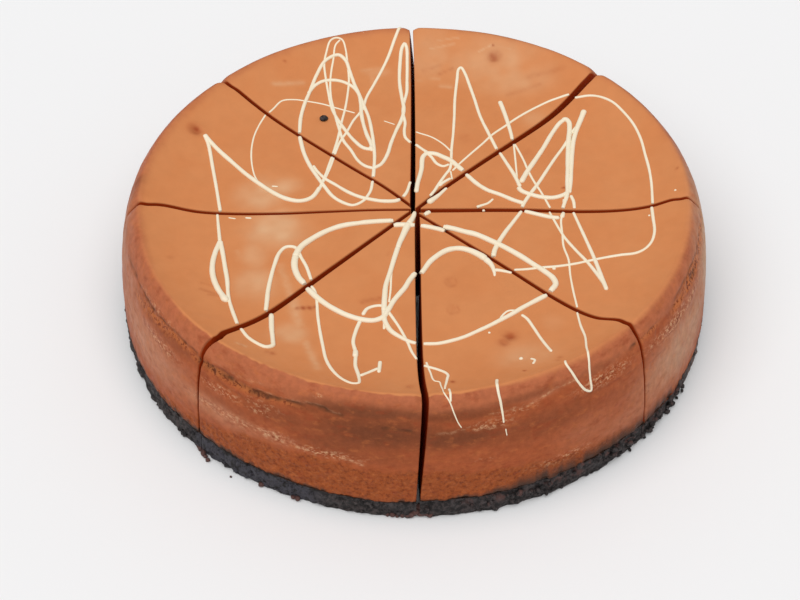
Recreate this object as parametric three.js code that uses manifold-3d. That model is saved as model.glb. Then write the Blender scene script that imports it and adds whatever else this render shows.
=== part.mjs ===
// Round chocolate cake on a dark crumb base, cut into eight slices that still stand together.
// Millimetres, +Z up. The origin is the centre of the base, +X right, -Y the front.
// Azimuths run from the front (-Y) towards the right (+X). Each slice is two solids: its
// brown filling, with the thick drizzle standing proud of its top, and its crumb base.
import * as THREE from "three";
import { mergeVertices } from "three/addons/utils/BufferGeometryUtils.js";
import Module from "manifold-3d";

const { clamp, lerp } = THREE.MathUtils;
const wasm = await Module();
wasm.setup();

// Driving dimensions: a nine inch cake, a little over two inches high at its raised rim.
const OUTER_RADIUS = 114.3;
const RIM_HEIGHT = 55.5;
const CENTRE_HEIGHT = 47.4;

// The top: a flat middle that rises to the rim's crest.
const FLAT_RADIUS = 56;
const CREST_RADIUS = 104.3;
const DISH_POWER = 3.4;
const DISH_STATIONS = 5;
const DISH_STATION_SPREAD = 0.6;

// The side: a round shoulder that falls to the crumb base in one long curve.
const SIDE_FOOT_HEIGHT = 10;
const SHOULDER_POWER = 2.2;
const SHOULDER_STATIONS = 8;

// The crumb base: flat inside, with a ragged upper edge and a slightly worn lower one.
const CRUST_LEVEL = 9;
const CRUST_FLAT_RADIUS = 106;
const CRUST_EDGE_RISE = 1;
const CRUST_SWELL = 0.45;
const CRUST_RAGGED = 0.8;
const CRUST_LUMP = 0.5;
const CRUST_FOOT_RADIUS = 113.1;
const CRUST_BODY_TOP = 14;
const FILLING_FOOT_RADIUS = 114;
const CRUST_FOOT_HEIGHT = 1.5;
const CRUST_ROWS = 2;
const LAYER_GAP = 0.3;

const SEGMENTS = 72;
const SLICE_MIN_VOLUME = 5000;

// Slight unevenness of the round outline, as waves round the cake.
const OUTLINE_WAVES = [
  { count: 1, size: 0.35, phase: 2.2 },
  { count: 3, size: 0.2, phase: 0.7 },
  { count: 7, size: 0.12, phase: 1.9 },
];

// Knife cuts, seen from above: a path from the hub to beyond the rim, the width of the
// gap at the hub, at the crest and at the side, and how far its foot leans sideways.
const CUTS = [
  { path: [[1.1, -1], [1, -26], [0.9, -52], [1.1, -82], [1.7, -99], [2.3, -107], [2.1, -120]],
    width: [2.05, 2.4, 2.4], lean: -2.9 },
  { path: [[1, -1.8], [12.7, -12.8], [34.3, -33.4], [51.5, -50.4], [65, -62.5], [72.1, -66.3], [77, -72],
    [88, -82]],
    width: [1.5, 2, 1.1], lean: 0 },
  { path: [[1, -0.2], [18, -0.3], [39, -0.7], [65, -2.1], [90, -2.5], [98, -2], [103, -3], [120, -4.6]],
    width: [2.7, 1.7, 1.2], lean: 0 },
  { path: [[0.6, 0.4], [12.2, 13.2], [27.3, 27.9], [54.9, 54], [69.3, 69.2], [87, 85]],
    width: [1.7, 3.1, 2.4], lean: 0 },
  { path: [[-0.7, -0.5], [-0.2, 27], [0.1, 52], [0.3, 81], [0.4, 120]],
    width: [2.15, 1.35, 1.3], lean: -3 },
  { path: [[-0.8, 2.1], [-11.5, 14], [-23.9, 25.5], [-42, 42.8], [-63.1, 62.8], [-70.1, 68.5], [-75, 71.5],
    [-86, 80]],
    width: [1.6, 1.7, 1.2], lean: 0 },
  { path: [[-1, 0.5], [-18, 0.5], [-52, -0.6], [-81, -0.2], [-95, 0.6], [-103, -1.5], [-120, -3]],
    width: [1.4, 2, 1.2], lean: 0 },
  { path: [[-1, -0.5], [-12.6, -12.6], [-36.3, -37.1], [-53.6, -55.4], [-68.8, -69.7], [-72, -75.3],
    [-77.3, -77.8], [-86, -87]],
    width: [1.75, 2.9, 1], lean: 0 },
  { path: [[-1.2, 0], [0, -0.5], [1.4, -1.2]], width: [1.8, 1.8, 1.8], lean: 0 },
];
// The gaps are widest at the top and close in downwards, as far as the crumb base.
const CUT_OPEN_HEIGHT = 53;
const CUT_FOOT_SHARE = 0.55;
const CUT_HEIGHTS = [-4, CRUST_LEVEL, CUT_OPEN_HEIGHT, RIM_HEIGHT + 8];
const CUT_STEPS_PER_POINT = 1;

// Thick drizzle, seen from above: the width of each stroke and the points that it is
// poured through.
const DRIZZLE = [
  // Left: a hook, a drop-shaped loop and a long line that swings forward twice.
  { width: 2.1, points: [[-82, 43], [-71, 29], [-59, 15.5], [-48.5, 7], [-42.5, 6], [-38.5, 9], [-36, 14]] },
  { width: 1.5, points: [[-82, 43], [-78, 24], [-74.5, 4], [-73.5, -17]] },
  { width: 2, points: [[-73.5, -17], [-75.5, -29], [-73.5, -42], [-70, -48]] },
  { width: 1.6, points: [[-73.5, -17], [-69, -46], [-64.5, -63], [-59, -73], [-54, -76.3], [-52, -73.5]] },
  { width: 1.8, points: [[-52, -73.5], [-53.5, -55], [-53.5, -36], [-50, -21.5], [-45.5, -20.3],
    [-39, -38]] },
  { width: 1.4, points: [[-39, -38], [-36, -57], [-32.5, -82], [-23.5, -96.5], [-21, -91], [-22.5, -71],
    [-20, -60]] },
  { width: 1.5, points: [[-21, -91], [-17, -88], [-13.5, -85]] },
  // Back left: two tall loops, a deep V and a line that runs off over the rim.
  { width: 1.7, points: [[-25.4, 84.5], [-30, 91.6], [-39, 80.5], [-44.8, 56], [-43, 34.5], [-34.4, 14],
    [-23.5, 3], [-16.5, 13], [-15.4, 38], [-19.3, 63], [-25.4, 84.5]] },
  { width: 1.6, points: [[-43.2, 67], [-38, 76.7], [-31.5, 78.7], [-24.2, 75.4], [-20.7, 63], [-16.3, 36]] },
  { width: 1.6, points: [[-16.3, 36], [-22, 40.5], [-29, 53], [-33.5, 69]] },
  { width: 1.7, points: [[-33.5, 69], [-29.5, 47], [-21.7, 29.5], [-15.6, 24.6], [-9.5, 36], [-3.6, 60],
    [-4.7, 80], [-3.7, 95.5], [-2.4, 98], [-1.8, 92]] },
  { width: 1.6, points: [[-1.9, 84], [-3.4, 63], [-2.9, 45], [4.5, 35]] },
  { width: 1.5, points: [[-4.3, 104.5], [-12.3, 84.4], [-20.2, 61], [-27, 45]] },
  { width: 1.5, points: [[-39, 26], [-29.9, 14.8], [-19, 7], [-10, 4.9], [-4.6, 6.6], [-1.9, 14.5]] },
  // Back right: an arch from the hub, a tall peak and a zigzag of thick strokes.
  { width: 2.3, points: [[1, 10.5], [2.2, 19], [3.9, 31], [8.5, 33], [19, 23], [28.5, 10.7], [43, 1.5],
    [56, -6]] },
  { width: 1.4, points: [[4.5, 35], [10.5, 25.6], [15, 28.5]] },
  { width: 2.6, points: [[5.2, 3.7], [7.4, 8], [10, 13.5]] },
  { width: 1.6, points: [[10, 13.5], [14.7, 26], [16, 46], [18.4, 77], [20.3, 85.2], [23.6, 75.5],
    [31.5, 41], [41.3, 12]] },
  { width: 1.9, points: [[35.5, 64.8], [37.8, 53.5], [40, 40]] },
  { width: 2.3, points: [[40.7, 13], [51, 34], [59.5, 51.3], [62.6, 49], [61, 30], [59.3, 8], [56.3, -6]] },
  { width: 2.4, points: [[69.2, 56], [63.5, 38], [61.3, 19], [60.5, 6]] },
  { width: 2, points: [[41, 12], [45.5, 7.4], [54, 5.7], [59, 8.5]] },
  { width: 1.7, points: [[67.3, 51], [60.5, 38], [48.2, 14], [37.6, -8], [28.8, -26]] },
  { width: 1.5, points: [[60.5, 6], [64, -15], [70, -47]] },
  { width: 1.4, points: [[56.3, -6], [56.3, -17], [64.2, -31], [69.5, -45]] },
  // Front: one broad loop to the left of the front cut, one to its right, and small curls.
  { width: 2.7, points: [[-1.6, -8.2], [-15, -6.6], [-33, -11.5], [-43.5, -21.5], [-43.5, -36.5], [-31, -53],
    [-16, -60.2], [-9, -51.5], [1, -34.3], [6.4, -27], [15.5, -21.6], [26, -26], [29, -36]] },
  { width: 2.5, points: [[0, -3.5], [-4.5, -14], [-9.4, -34], [-11.9, -56], [-8.5, -66.5], [2, -72.3],
    [17, -69.2], [36, -56.5]] },
  { width: 2.4, points: [[36, -56.5], [50, -45], [49.5, -38], [33.5, -22], [13.8, -11], [2, -9.4],
    [-1.6, -8.2]] },
  { width: 1.4, points: [[-20, -58], [-17, -53.3], [-12, -53], [-5.3, -66.3], [0, -80]] },
  { width: 1.4, points: [[37.5, -57], [42, -65.5], [47.6, -80.6]] },
];
const STROKE_STEPS_PER_POINT = 3;
// A strand's section, as shares of its width: across, and up from the top it lies on.
const STROKE_SECTION = [[-0.55, -0.15], [-0.3, 0.4], [0.3, 0.4], [0.55, -0.15]];

const fillingMaterial = new THREE.MeshStandardMaterial({ color: 0xc98256, roughness: 0.55, metalness: 0 });
const crustMaterial = new THREE.MeshStandardMaterial({ color: 0x2b2523, roughness: 0.9, metalness: 0 });

// A repeatable number from -1 to 1 for a whole number, for lumps and ragged edges.
function scatter(index) {
  const wave = Math.sin(index * 12.9898) * 43758.5453;
  return 2 * (wave - Math.floor(wave)) - 1;
}

// The number of the turned body's spoke at an azimuth.
function spokeAt(azimuth) {
  return Math.round((azimuth / (2 * Math.PI)) * SEGMENTS) % SEGMENTS;
}

function outlineOffset(azimuth) {
  const offsets = OUTLINE_WAVES.map(({ count, size, phase }) => size * Math.sin(count * azimuth + phase));
  return offsets.reduce((sum, offset) => sum + offset, 0);
}

function topHeight(radius) {
  const climb = Math.max(0, radius - FLAT_RADIUS) / (CREST_RADIUS - FLAT_RADIUS);
  return CENTRE_HEIGHT + (RIM_HEIGHT - CENTRE_HEIGHT) * climb ** DISH_POWER;
}

function sideRadius(height) {
  const climb = clamp((height - SIDE_FOOT_HEIGHT) / (RIM_HEIGHT - SIDE_FOOT_HEIGHT), 0, 1);
  return CREST_RADIUS + (OUTER_RADIUS - CREST_RADIUS) * Math.sqrt(1 - climb ** SHOULDER_POWER);
}

// The ragged line where the filling meets the crumb base at the outside.
function crustEdgeHeight(azimuth) {
  const swell = Math.sin(3 * azimuth + 1) + Math.sin(5 * azimuth);
  return CRUST_LEVEL + CRUST_EDGE_RISE + CRUST_SWELL * swell + CRUST_RAGGED * scatter(spokeAt(azimuth));
}

// Merges the corners that a geometry's faces share.
function welded(geometry) {
  geometry.deleteAttribute("normal");
  geometry.deleteAttribute("uv");
  return mergeVertices(geometry, 1e-4);
}

// Turns a closed geometry with shared corners into a solid, without its empty triangles.
function toSolid(merged) {
  const index = merged.index.array;
  const triangles = [];
  for (let i = 0; i < index.length; i += 3) {
    const [a, b, c] = [index[i], index[i + 1], index[i + 2]];
    if (a !== b && b !== c && c !== a) triangles.push(a, b, c);
  }
  const mesh = new wasm.Mesh({
    numProp: 3,
    vertProperties: new Float32Array(merged.attributes.position.array),
    triVerts: new Uint32Array(triangles),
  });
  return new wasm.Manifold(mesh);
}

function toMesh(name, solid, material) {
  const { vertProperties, triVerts } = solid.getMesh();
  const geometry = new THREE.BufferGeometry();
  geometry.setAttribute("position", new THREE.BufferAttribute(new Float32Array(vertProperties), 3));
  geometry.setIndex(new THREE.BufferAttribute(new Uint32Array(triVerts), 1));
  geometry.computeVertexNormals();
  const mesh = new THREE.Mesh(geometry, material);
  mesh.name = name;
  return mesh;
}

// A turned body whose corners are then moved: adjust gets a corner and its azimuth.
function turned(profile, adjust) {
  const geometry = welded(new THREE.LatheGeometry(profile, SEGMENTS).rotateX(Math.PI / 2));
  const position = geometry.attributes.position;
  const corner = new THREE.Vector3();
  for (let i = 0; i < position.count; i++) {
    corner.fromBufferAttribute(position, i);
    const azimuth = Math.atan2(corner.x, -corner.y);
    adjust(corner, azimuth < 0 ? azimuth + 2 * Math.PI : azimuth);
    position.setXYZ(i, corner.x, corner.y, corner.z);
  }
  return toSolid(geometry);
}

function pushOutwards(corner, distance) {
  const radius = Math.hypot(corner.x, corner.y);
  const factor = (radius + distance) / radius;
  corner.x *= factor;
  corner.y *= factor;
}

function makeFilling() {
  const underside = CRUST_LEVEL + LAYER_GAP / 2;
  const profile = [new THREE.Vector2(0, underside), new THREE.Vector2(CRUST_FLAT_RADIUS, underside)];
  for (let i = 0; i < SHOULDER_STATIONS; i++) {
    const turn = (i / SHOULDER_STATIONS) * (Math.PI / 2);
    const height = SIDE_FOOT_HEIGHT + (RIM_HEIGHT - SIDE_FOOT_HEIGHT) * Math.sin(turn);
    const radius = i === 0 ? FILLING_FOOT_RADIUS : sideRadius(height);
    profile.push(new THREE.Vector2(radius, height));
  }
  for (let i = 0; i < DISH_STATIONS; i++) {
    const share = (1 - i / DISH_STATIONS) ** DISH_STATION_SPREAD;
    const radius = FLAT_RADIUS + (CREST_RADIUS - FLAT_RADIUS) * share;
    profile.push(new THREE.Vector2(radius, topHeight(radius)));
  }
  profile.push(new THREE.Vector2(FLAT_RADIUS, CENTRE_HEIGHT), new THREE.Vector2(0, CENTRE_HEIGHT));
  return turned(profile, (corner, azimuth) => {
    const radius = Math.hypot(corner.x, corner.y);
    const isFoot = radius > CRUST_FLAT_RADIUS + 1 && corner.z < SIDE_FOOT_HEIGHT + 0.01;
    if (isFoot) corner.z = crustEdgeHeight(azimuth) + LAYER_GAP / 2;
    if (radius > FLAT_RADIUS + 1) pushOutwards(corner, outlineOffset(azimuth) * (radius / OUTER_RADIUS));
  });
}

// The crumb base: its top is the filling's own underside, a small gap lower.
function makeCrust(filling) {
  const profile = [new THREE.Vector2(0, 0), new THREE.Vector2(CRUST_FOOT_RADIUS, 0)];
  for (let i = 1; i <= CRUST_ROWS; i++) {
    const turn = (i / CRUST_ROWS) * (Math.PI / 2);
    const radius = CRUST_FOOT_RADIUS + (OUTER_RADIUS - CRUST_FOOT_RADIUS) * Math.sin(turn);
    profile.push(new THREE.Vector2(radius, CRUST_FOOT_HEIGHT * (1 - Math.cos(turn))));
  }
  profile.push(new THREE.Vector2(OUTER_RADIUS, CRUST_LEVEL - 3 * CRUST_RAGGED));
  profile.push(new THREE.Vector2(FILLING_FOOT_RADIUS - CRUST_LUMP, CRUST_BODY_TOP));
  profile.push(new THREE.Vector2(0, CRUST_BODY_TOP));
  const body = turned(profile, (corner, azimuth) => {
    const isSide = corner.z > 0.01 && corner.z < CRUST_BODY_TOP - 0.01;
    const lump = isSide ? CRUST_LUMP * scatter(spokeAt(azimuth) + 31 * Math.round(corner.z)) : 0;
    if (corner.x || corner.y) pushOutwards(corner, outlineOffset(azimuth) + lump);
  });
  return body.subtract(filling.translate([0, 0, -LAYER_GAP]));
}

// A smooth flat curve through points seen from above.
function curveThrough(points) {
  const corners = points.map(([x, y]) => new THREE.Vector3(x, y, 0));
  return new THREE.CatmullRomCurve3(corners, false, "centripetal");
}

// A strand poured along its path: swept flat, then every corner is laid on the top.
function makeStroke({ width, points }) {
  const extrudePath = curveThrough(points);
  const section = new THREE.Shape(
    STROKE_SECTION.map(([across, up]) => new THREE.Vector2(-up * width, across * width)),
  );
  const steps = STROKE_STEPS_PER_POINT * (points.length - 1);
  const strand = welded(new THREE.ExtrudeGeometry(section, { steps, extrudePath, bevelEnabled: false }));
  const position = strand.attributes.position;
  for (let i = 0; i < position.count; i++) {
    const ground = topHeight(Math.hypot(position.getX(i), position.getY(i)));
    position.setZ(i, position.getZ(i) + ground);
  }
  return toSolid(strand);
}

// The gap that the knife leaves: a thin upright slab bent along its path.
function makeCut({ path, width, lean }) {
  const plan = curveThrough(path);
  const steps = CUT_STEPS_PER_POINT * (path.length - 1);
  const rows = CUT_HEIGHTS.length - 1;
  const slab = welded(new THREE.BoxGeometry(1, 1, 1, steps, 1, rows));
  const position = slab.attributes.position;
  for (let i = 0; i < position.count; i++) {
    const along = position.getX(i) + 0.5;
    const height = CUT_HEIGHTS[Math.round((position.getZ(i) + 0.5) * rows)];
    const open = clamp((height - CRUST_LEVEL) / (CUT_OPEN_HEIGHT - CRUST_LEVEL), 0, 1);
    const point = plan.getPoint(along);
    const tangent = plan.getTangent(along);
    const radius = Math.hypot(point.x, point.y);
    const reach = radius / OUTER_RADIUS;
    const [atHub, atCrest, atSide] = width;
    const beyond = clamp((radius - CREST_RADIUS) / (OUTER_RADIUS - CREST_RADIUS), 0, 1);
    const wide = beyond > 0 ? lerp(atCrest, atSide, beyond) : lerp(atHub, atCrest, radius / CREST_RADIUS);
    const gap = wide * lerp(CUT_FOOT_SHARE, 1, open);
    const sideways = position.getY(i) * gap + lean * (1 - open) * reach;
    position.setXYZ(i, point.x - tangent.y * sideways, point.y + tangent.x * sideways, height);
  }
  return toSolid(slab);
}

function azimuthOf(solid) {
  const { min, max } = solid.boundingBox();
  const azimuth = Math.atan2(min[0] + max[0], -(min[1] + max[1]));
  return azimuth < 0 ? azimuth + 2 * Math.PI : azimuth;
}

// Cuts a layer into its slices, in order round the cake from the front cut.
function slicesOf(layer, cuts) {
  const pieces = cuts.reduce((rest, cut) => rest.subtract(cut), layer).decompose();
  const slices = pieces.filter((piece) => piece.volume() > SLICE_MIN_VOLUME);
  return slices.sort((a, b) => azimuthOf(a) - azimuthOf(b));
}

const cuts = CUTS.map(makeCut);
const filling = makeFilling();
const decorated = DRIZZLE.map(makeStroke).reduce((layer, stroke) => layer.add(stroke), filling);

const cake = new THREE.Group();
slicesOf(decorated, cuts).forEach((slice, i) => {
  cake.add(toMesh(`filling_${i + 1}`, slice, fillingMaterial));
});
slicesOf(makeCrust(filling), cuts).forEach((slice, i) => {
  cake.add(toMesh(`crust_${i + 1}`, slice, crustMaterial));
});

export default cake;
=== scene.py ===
"""A sliced chocolate cake: smooth brown filling on a black crumb base, with cream drizzle.

Lengths are in millimetres until a mesh is made; azimuths run from the front (-Y) to the
right (+X). Every slice has a filling, a crumb base and its own strands of drizzle.
"""
import math

import bmesh
import bpy
import numpy as np
from mathutils import Matrix, Vector


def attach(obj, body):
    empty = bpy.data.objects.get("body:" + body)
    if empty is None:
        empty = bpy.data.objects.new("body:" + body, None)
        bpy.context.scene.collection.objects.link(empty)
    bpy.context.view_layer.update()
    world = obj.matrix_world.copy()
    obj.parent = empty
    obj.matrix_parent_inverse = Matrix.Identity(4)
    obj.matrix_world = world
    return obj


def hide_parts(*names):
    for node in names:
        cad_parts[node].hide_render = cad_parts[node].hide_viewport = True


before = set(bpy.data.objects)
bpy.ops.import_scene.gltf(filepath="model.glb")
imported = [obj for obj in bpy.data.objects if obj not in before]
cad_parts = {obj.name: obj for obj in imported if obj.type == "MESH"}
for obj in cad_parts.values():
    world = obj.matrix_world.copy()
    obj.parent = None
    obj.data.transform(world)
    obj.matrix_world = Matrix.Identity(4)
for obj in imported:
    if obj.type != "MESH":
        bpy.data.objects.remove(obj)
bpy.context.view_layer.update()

MM = 0.001
SLICES = 8
TAU = 2 * math.pi

# ---- Main sizes, the same as the solids' -------------------------------------------------

OUTER_RADIUS = 114.3
RIM_HEIGHT = 55.5
CENTRE_HEIGHT = 47.4
FLAT_RADIUS = 56
CREST_RADIUS = 104.3
DISH_POWER = 3.4
SIDE_FOOT_HEIGHT = 10
FILLING_FOOT_RADIUS = 114
SHOULDER_POWER = 2.2
CRUST_LEVEL = 9
CRUST_FLAT_RADIUS = 106
CRUST_FOOT_RADIUS = 113.1
CRUST_INNER_FOOT = 110
CRUST_FOOT_HEIGHT = 1.5
# The crumb base's upper edge: azimuth in degrees and height.
CRUST_EDGE = [(-180, 10), (-90, 10), (-62, 11), (-46, 10.9), (-32, 9.9), (-20, 9.5), (-5, 8.9), (8, 9.3),
              (45, 9.5), (58, 8.8), (75, 8.8), (90, 9.6), (180, 10)]
LAYER_GAP = 0.3
OUTLINE_WAVES = [(1, 0.35, 2.2), (3, 0.2, 0.7), (7, 0.12, 1.9)]

# Knife cuts: path from the hub outwards, gap at hub, crest and side, sideways lean of its foot.
CUTS = [
    ([(1.1, -1), (1, -26), (0.9, -52), (1.1, -82), (1.7, -99), (2.3, -107), (2.1, -120)],
     (2.05, 2.4, 2.4), -2.9),
    ([(1, -1.8), (12.7, -12.8), (34.3, -33.4), (51.5, -50.4), (65, -62.5), (72.1, -66.3), (77, -72),
      (88, -82)], (1.5, 2, 1.1), 0),
    ([(1, -0.2), (18, -0.3), (39, -0.7), (65, -2.1), (90, -2.5), (98, -2), (103, -3), (120, -4.6)],
     (2.7, 1.7, 1.2), 0),
    ([(0.6, 0.4), (12.2, 13.2), (27.3, 27.9), (54.9, 54), (69.3, 69.2), (87, 85)], (1.7, 3.1, 2.4), 0),
    ([(-0.7, -0.5), (-0.2, 27), (0.1, 52), (0.3, 81), (0.4, 120)], (2.15, 1.35, 1.3), -3),
    ([(-0.8, 2.1), (-11.5, 14), (-23.9, 25.5), (-42, 42.8), (-63.1, 62.8), (-70.1, 68.5), (-75, 71.5),
      (-86, 80)], (1.6, 1.7, 1.2), 0),
    ([(-1, 0.5), (-18, 0.5), (-52, -0.6), (-81, -0.2), (-95, 0.6), (-103, -1.5), (-120, -3)],
     (1.4, 2, 1.2), 0),
    ([(-1, -0.5), (-12.6, -12.6), (-36.3, -37.1), (-53.6, -55.4), (-68.8, -69.7), (-72, -75.3),
      (-77.3, -77.8), (-86, -87)], (1.75, 2.9, 1), 0),
]
CUT_OPEN_HEIGHT = 53
CUT_FOOT_SHARE = 0.55

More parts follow.
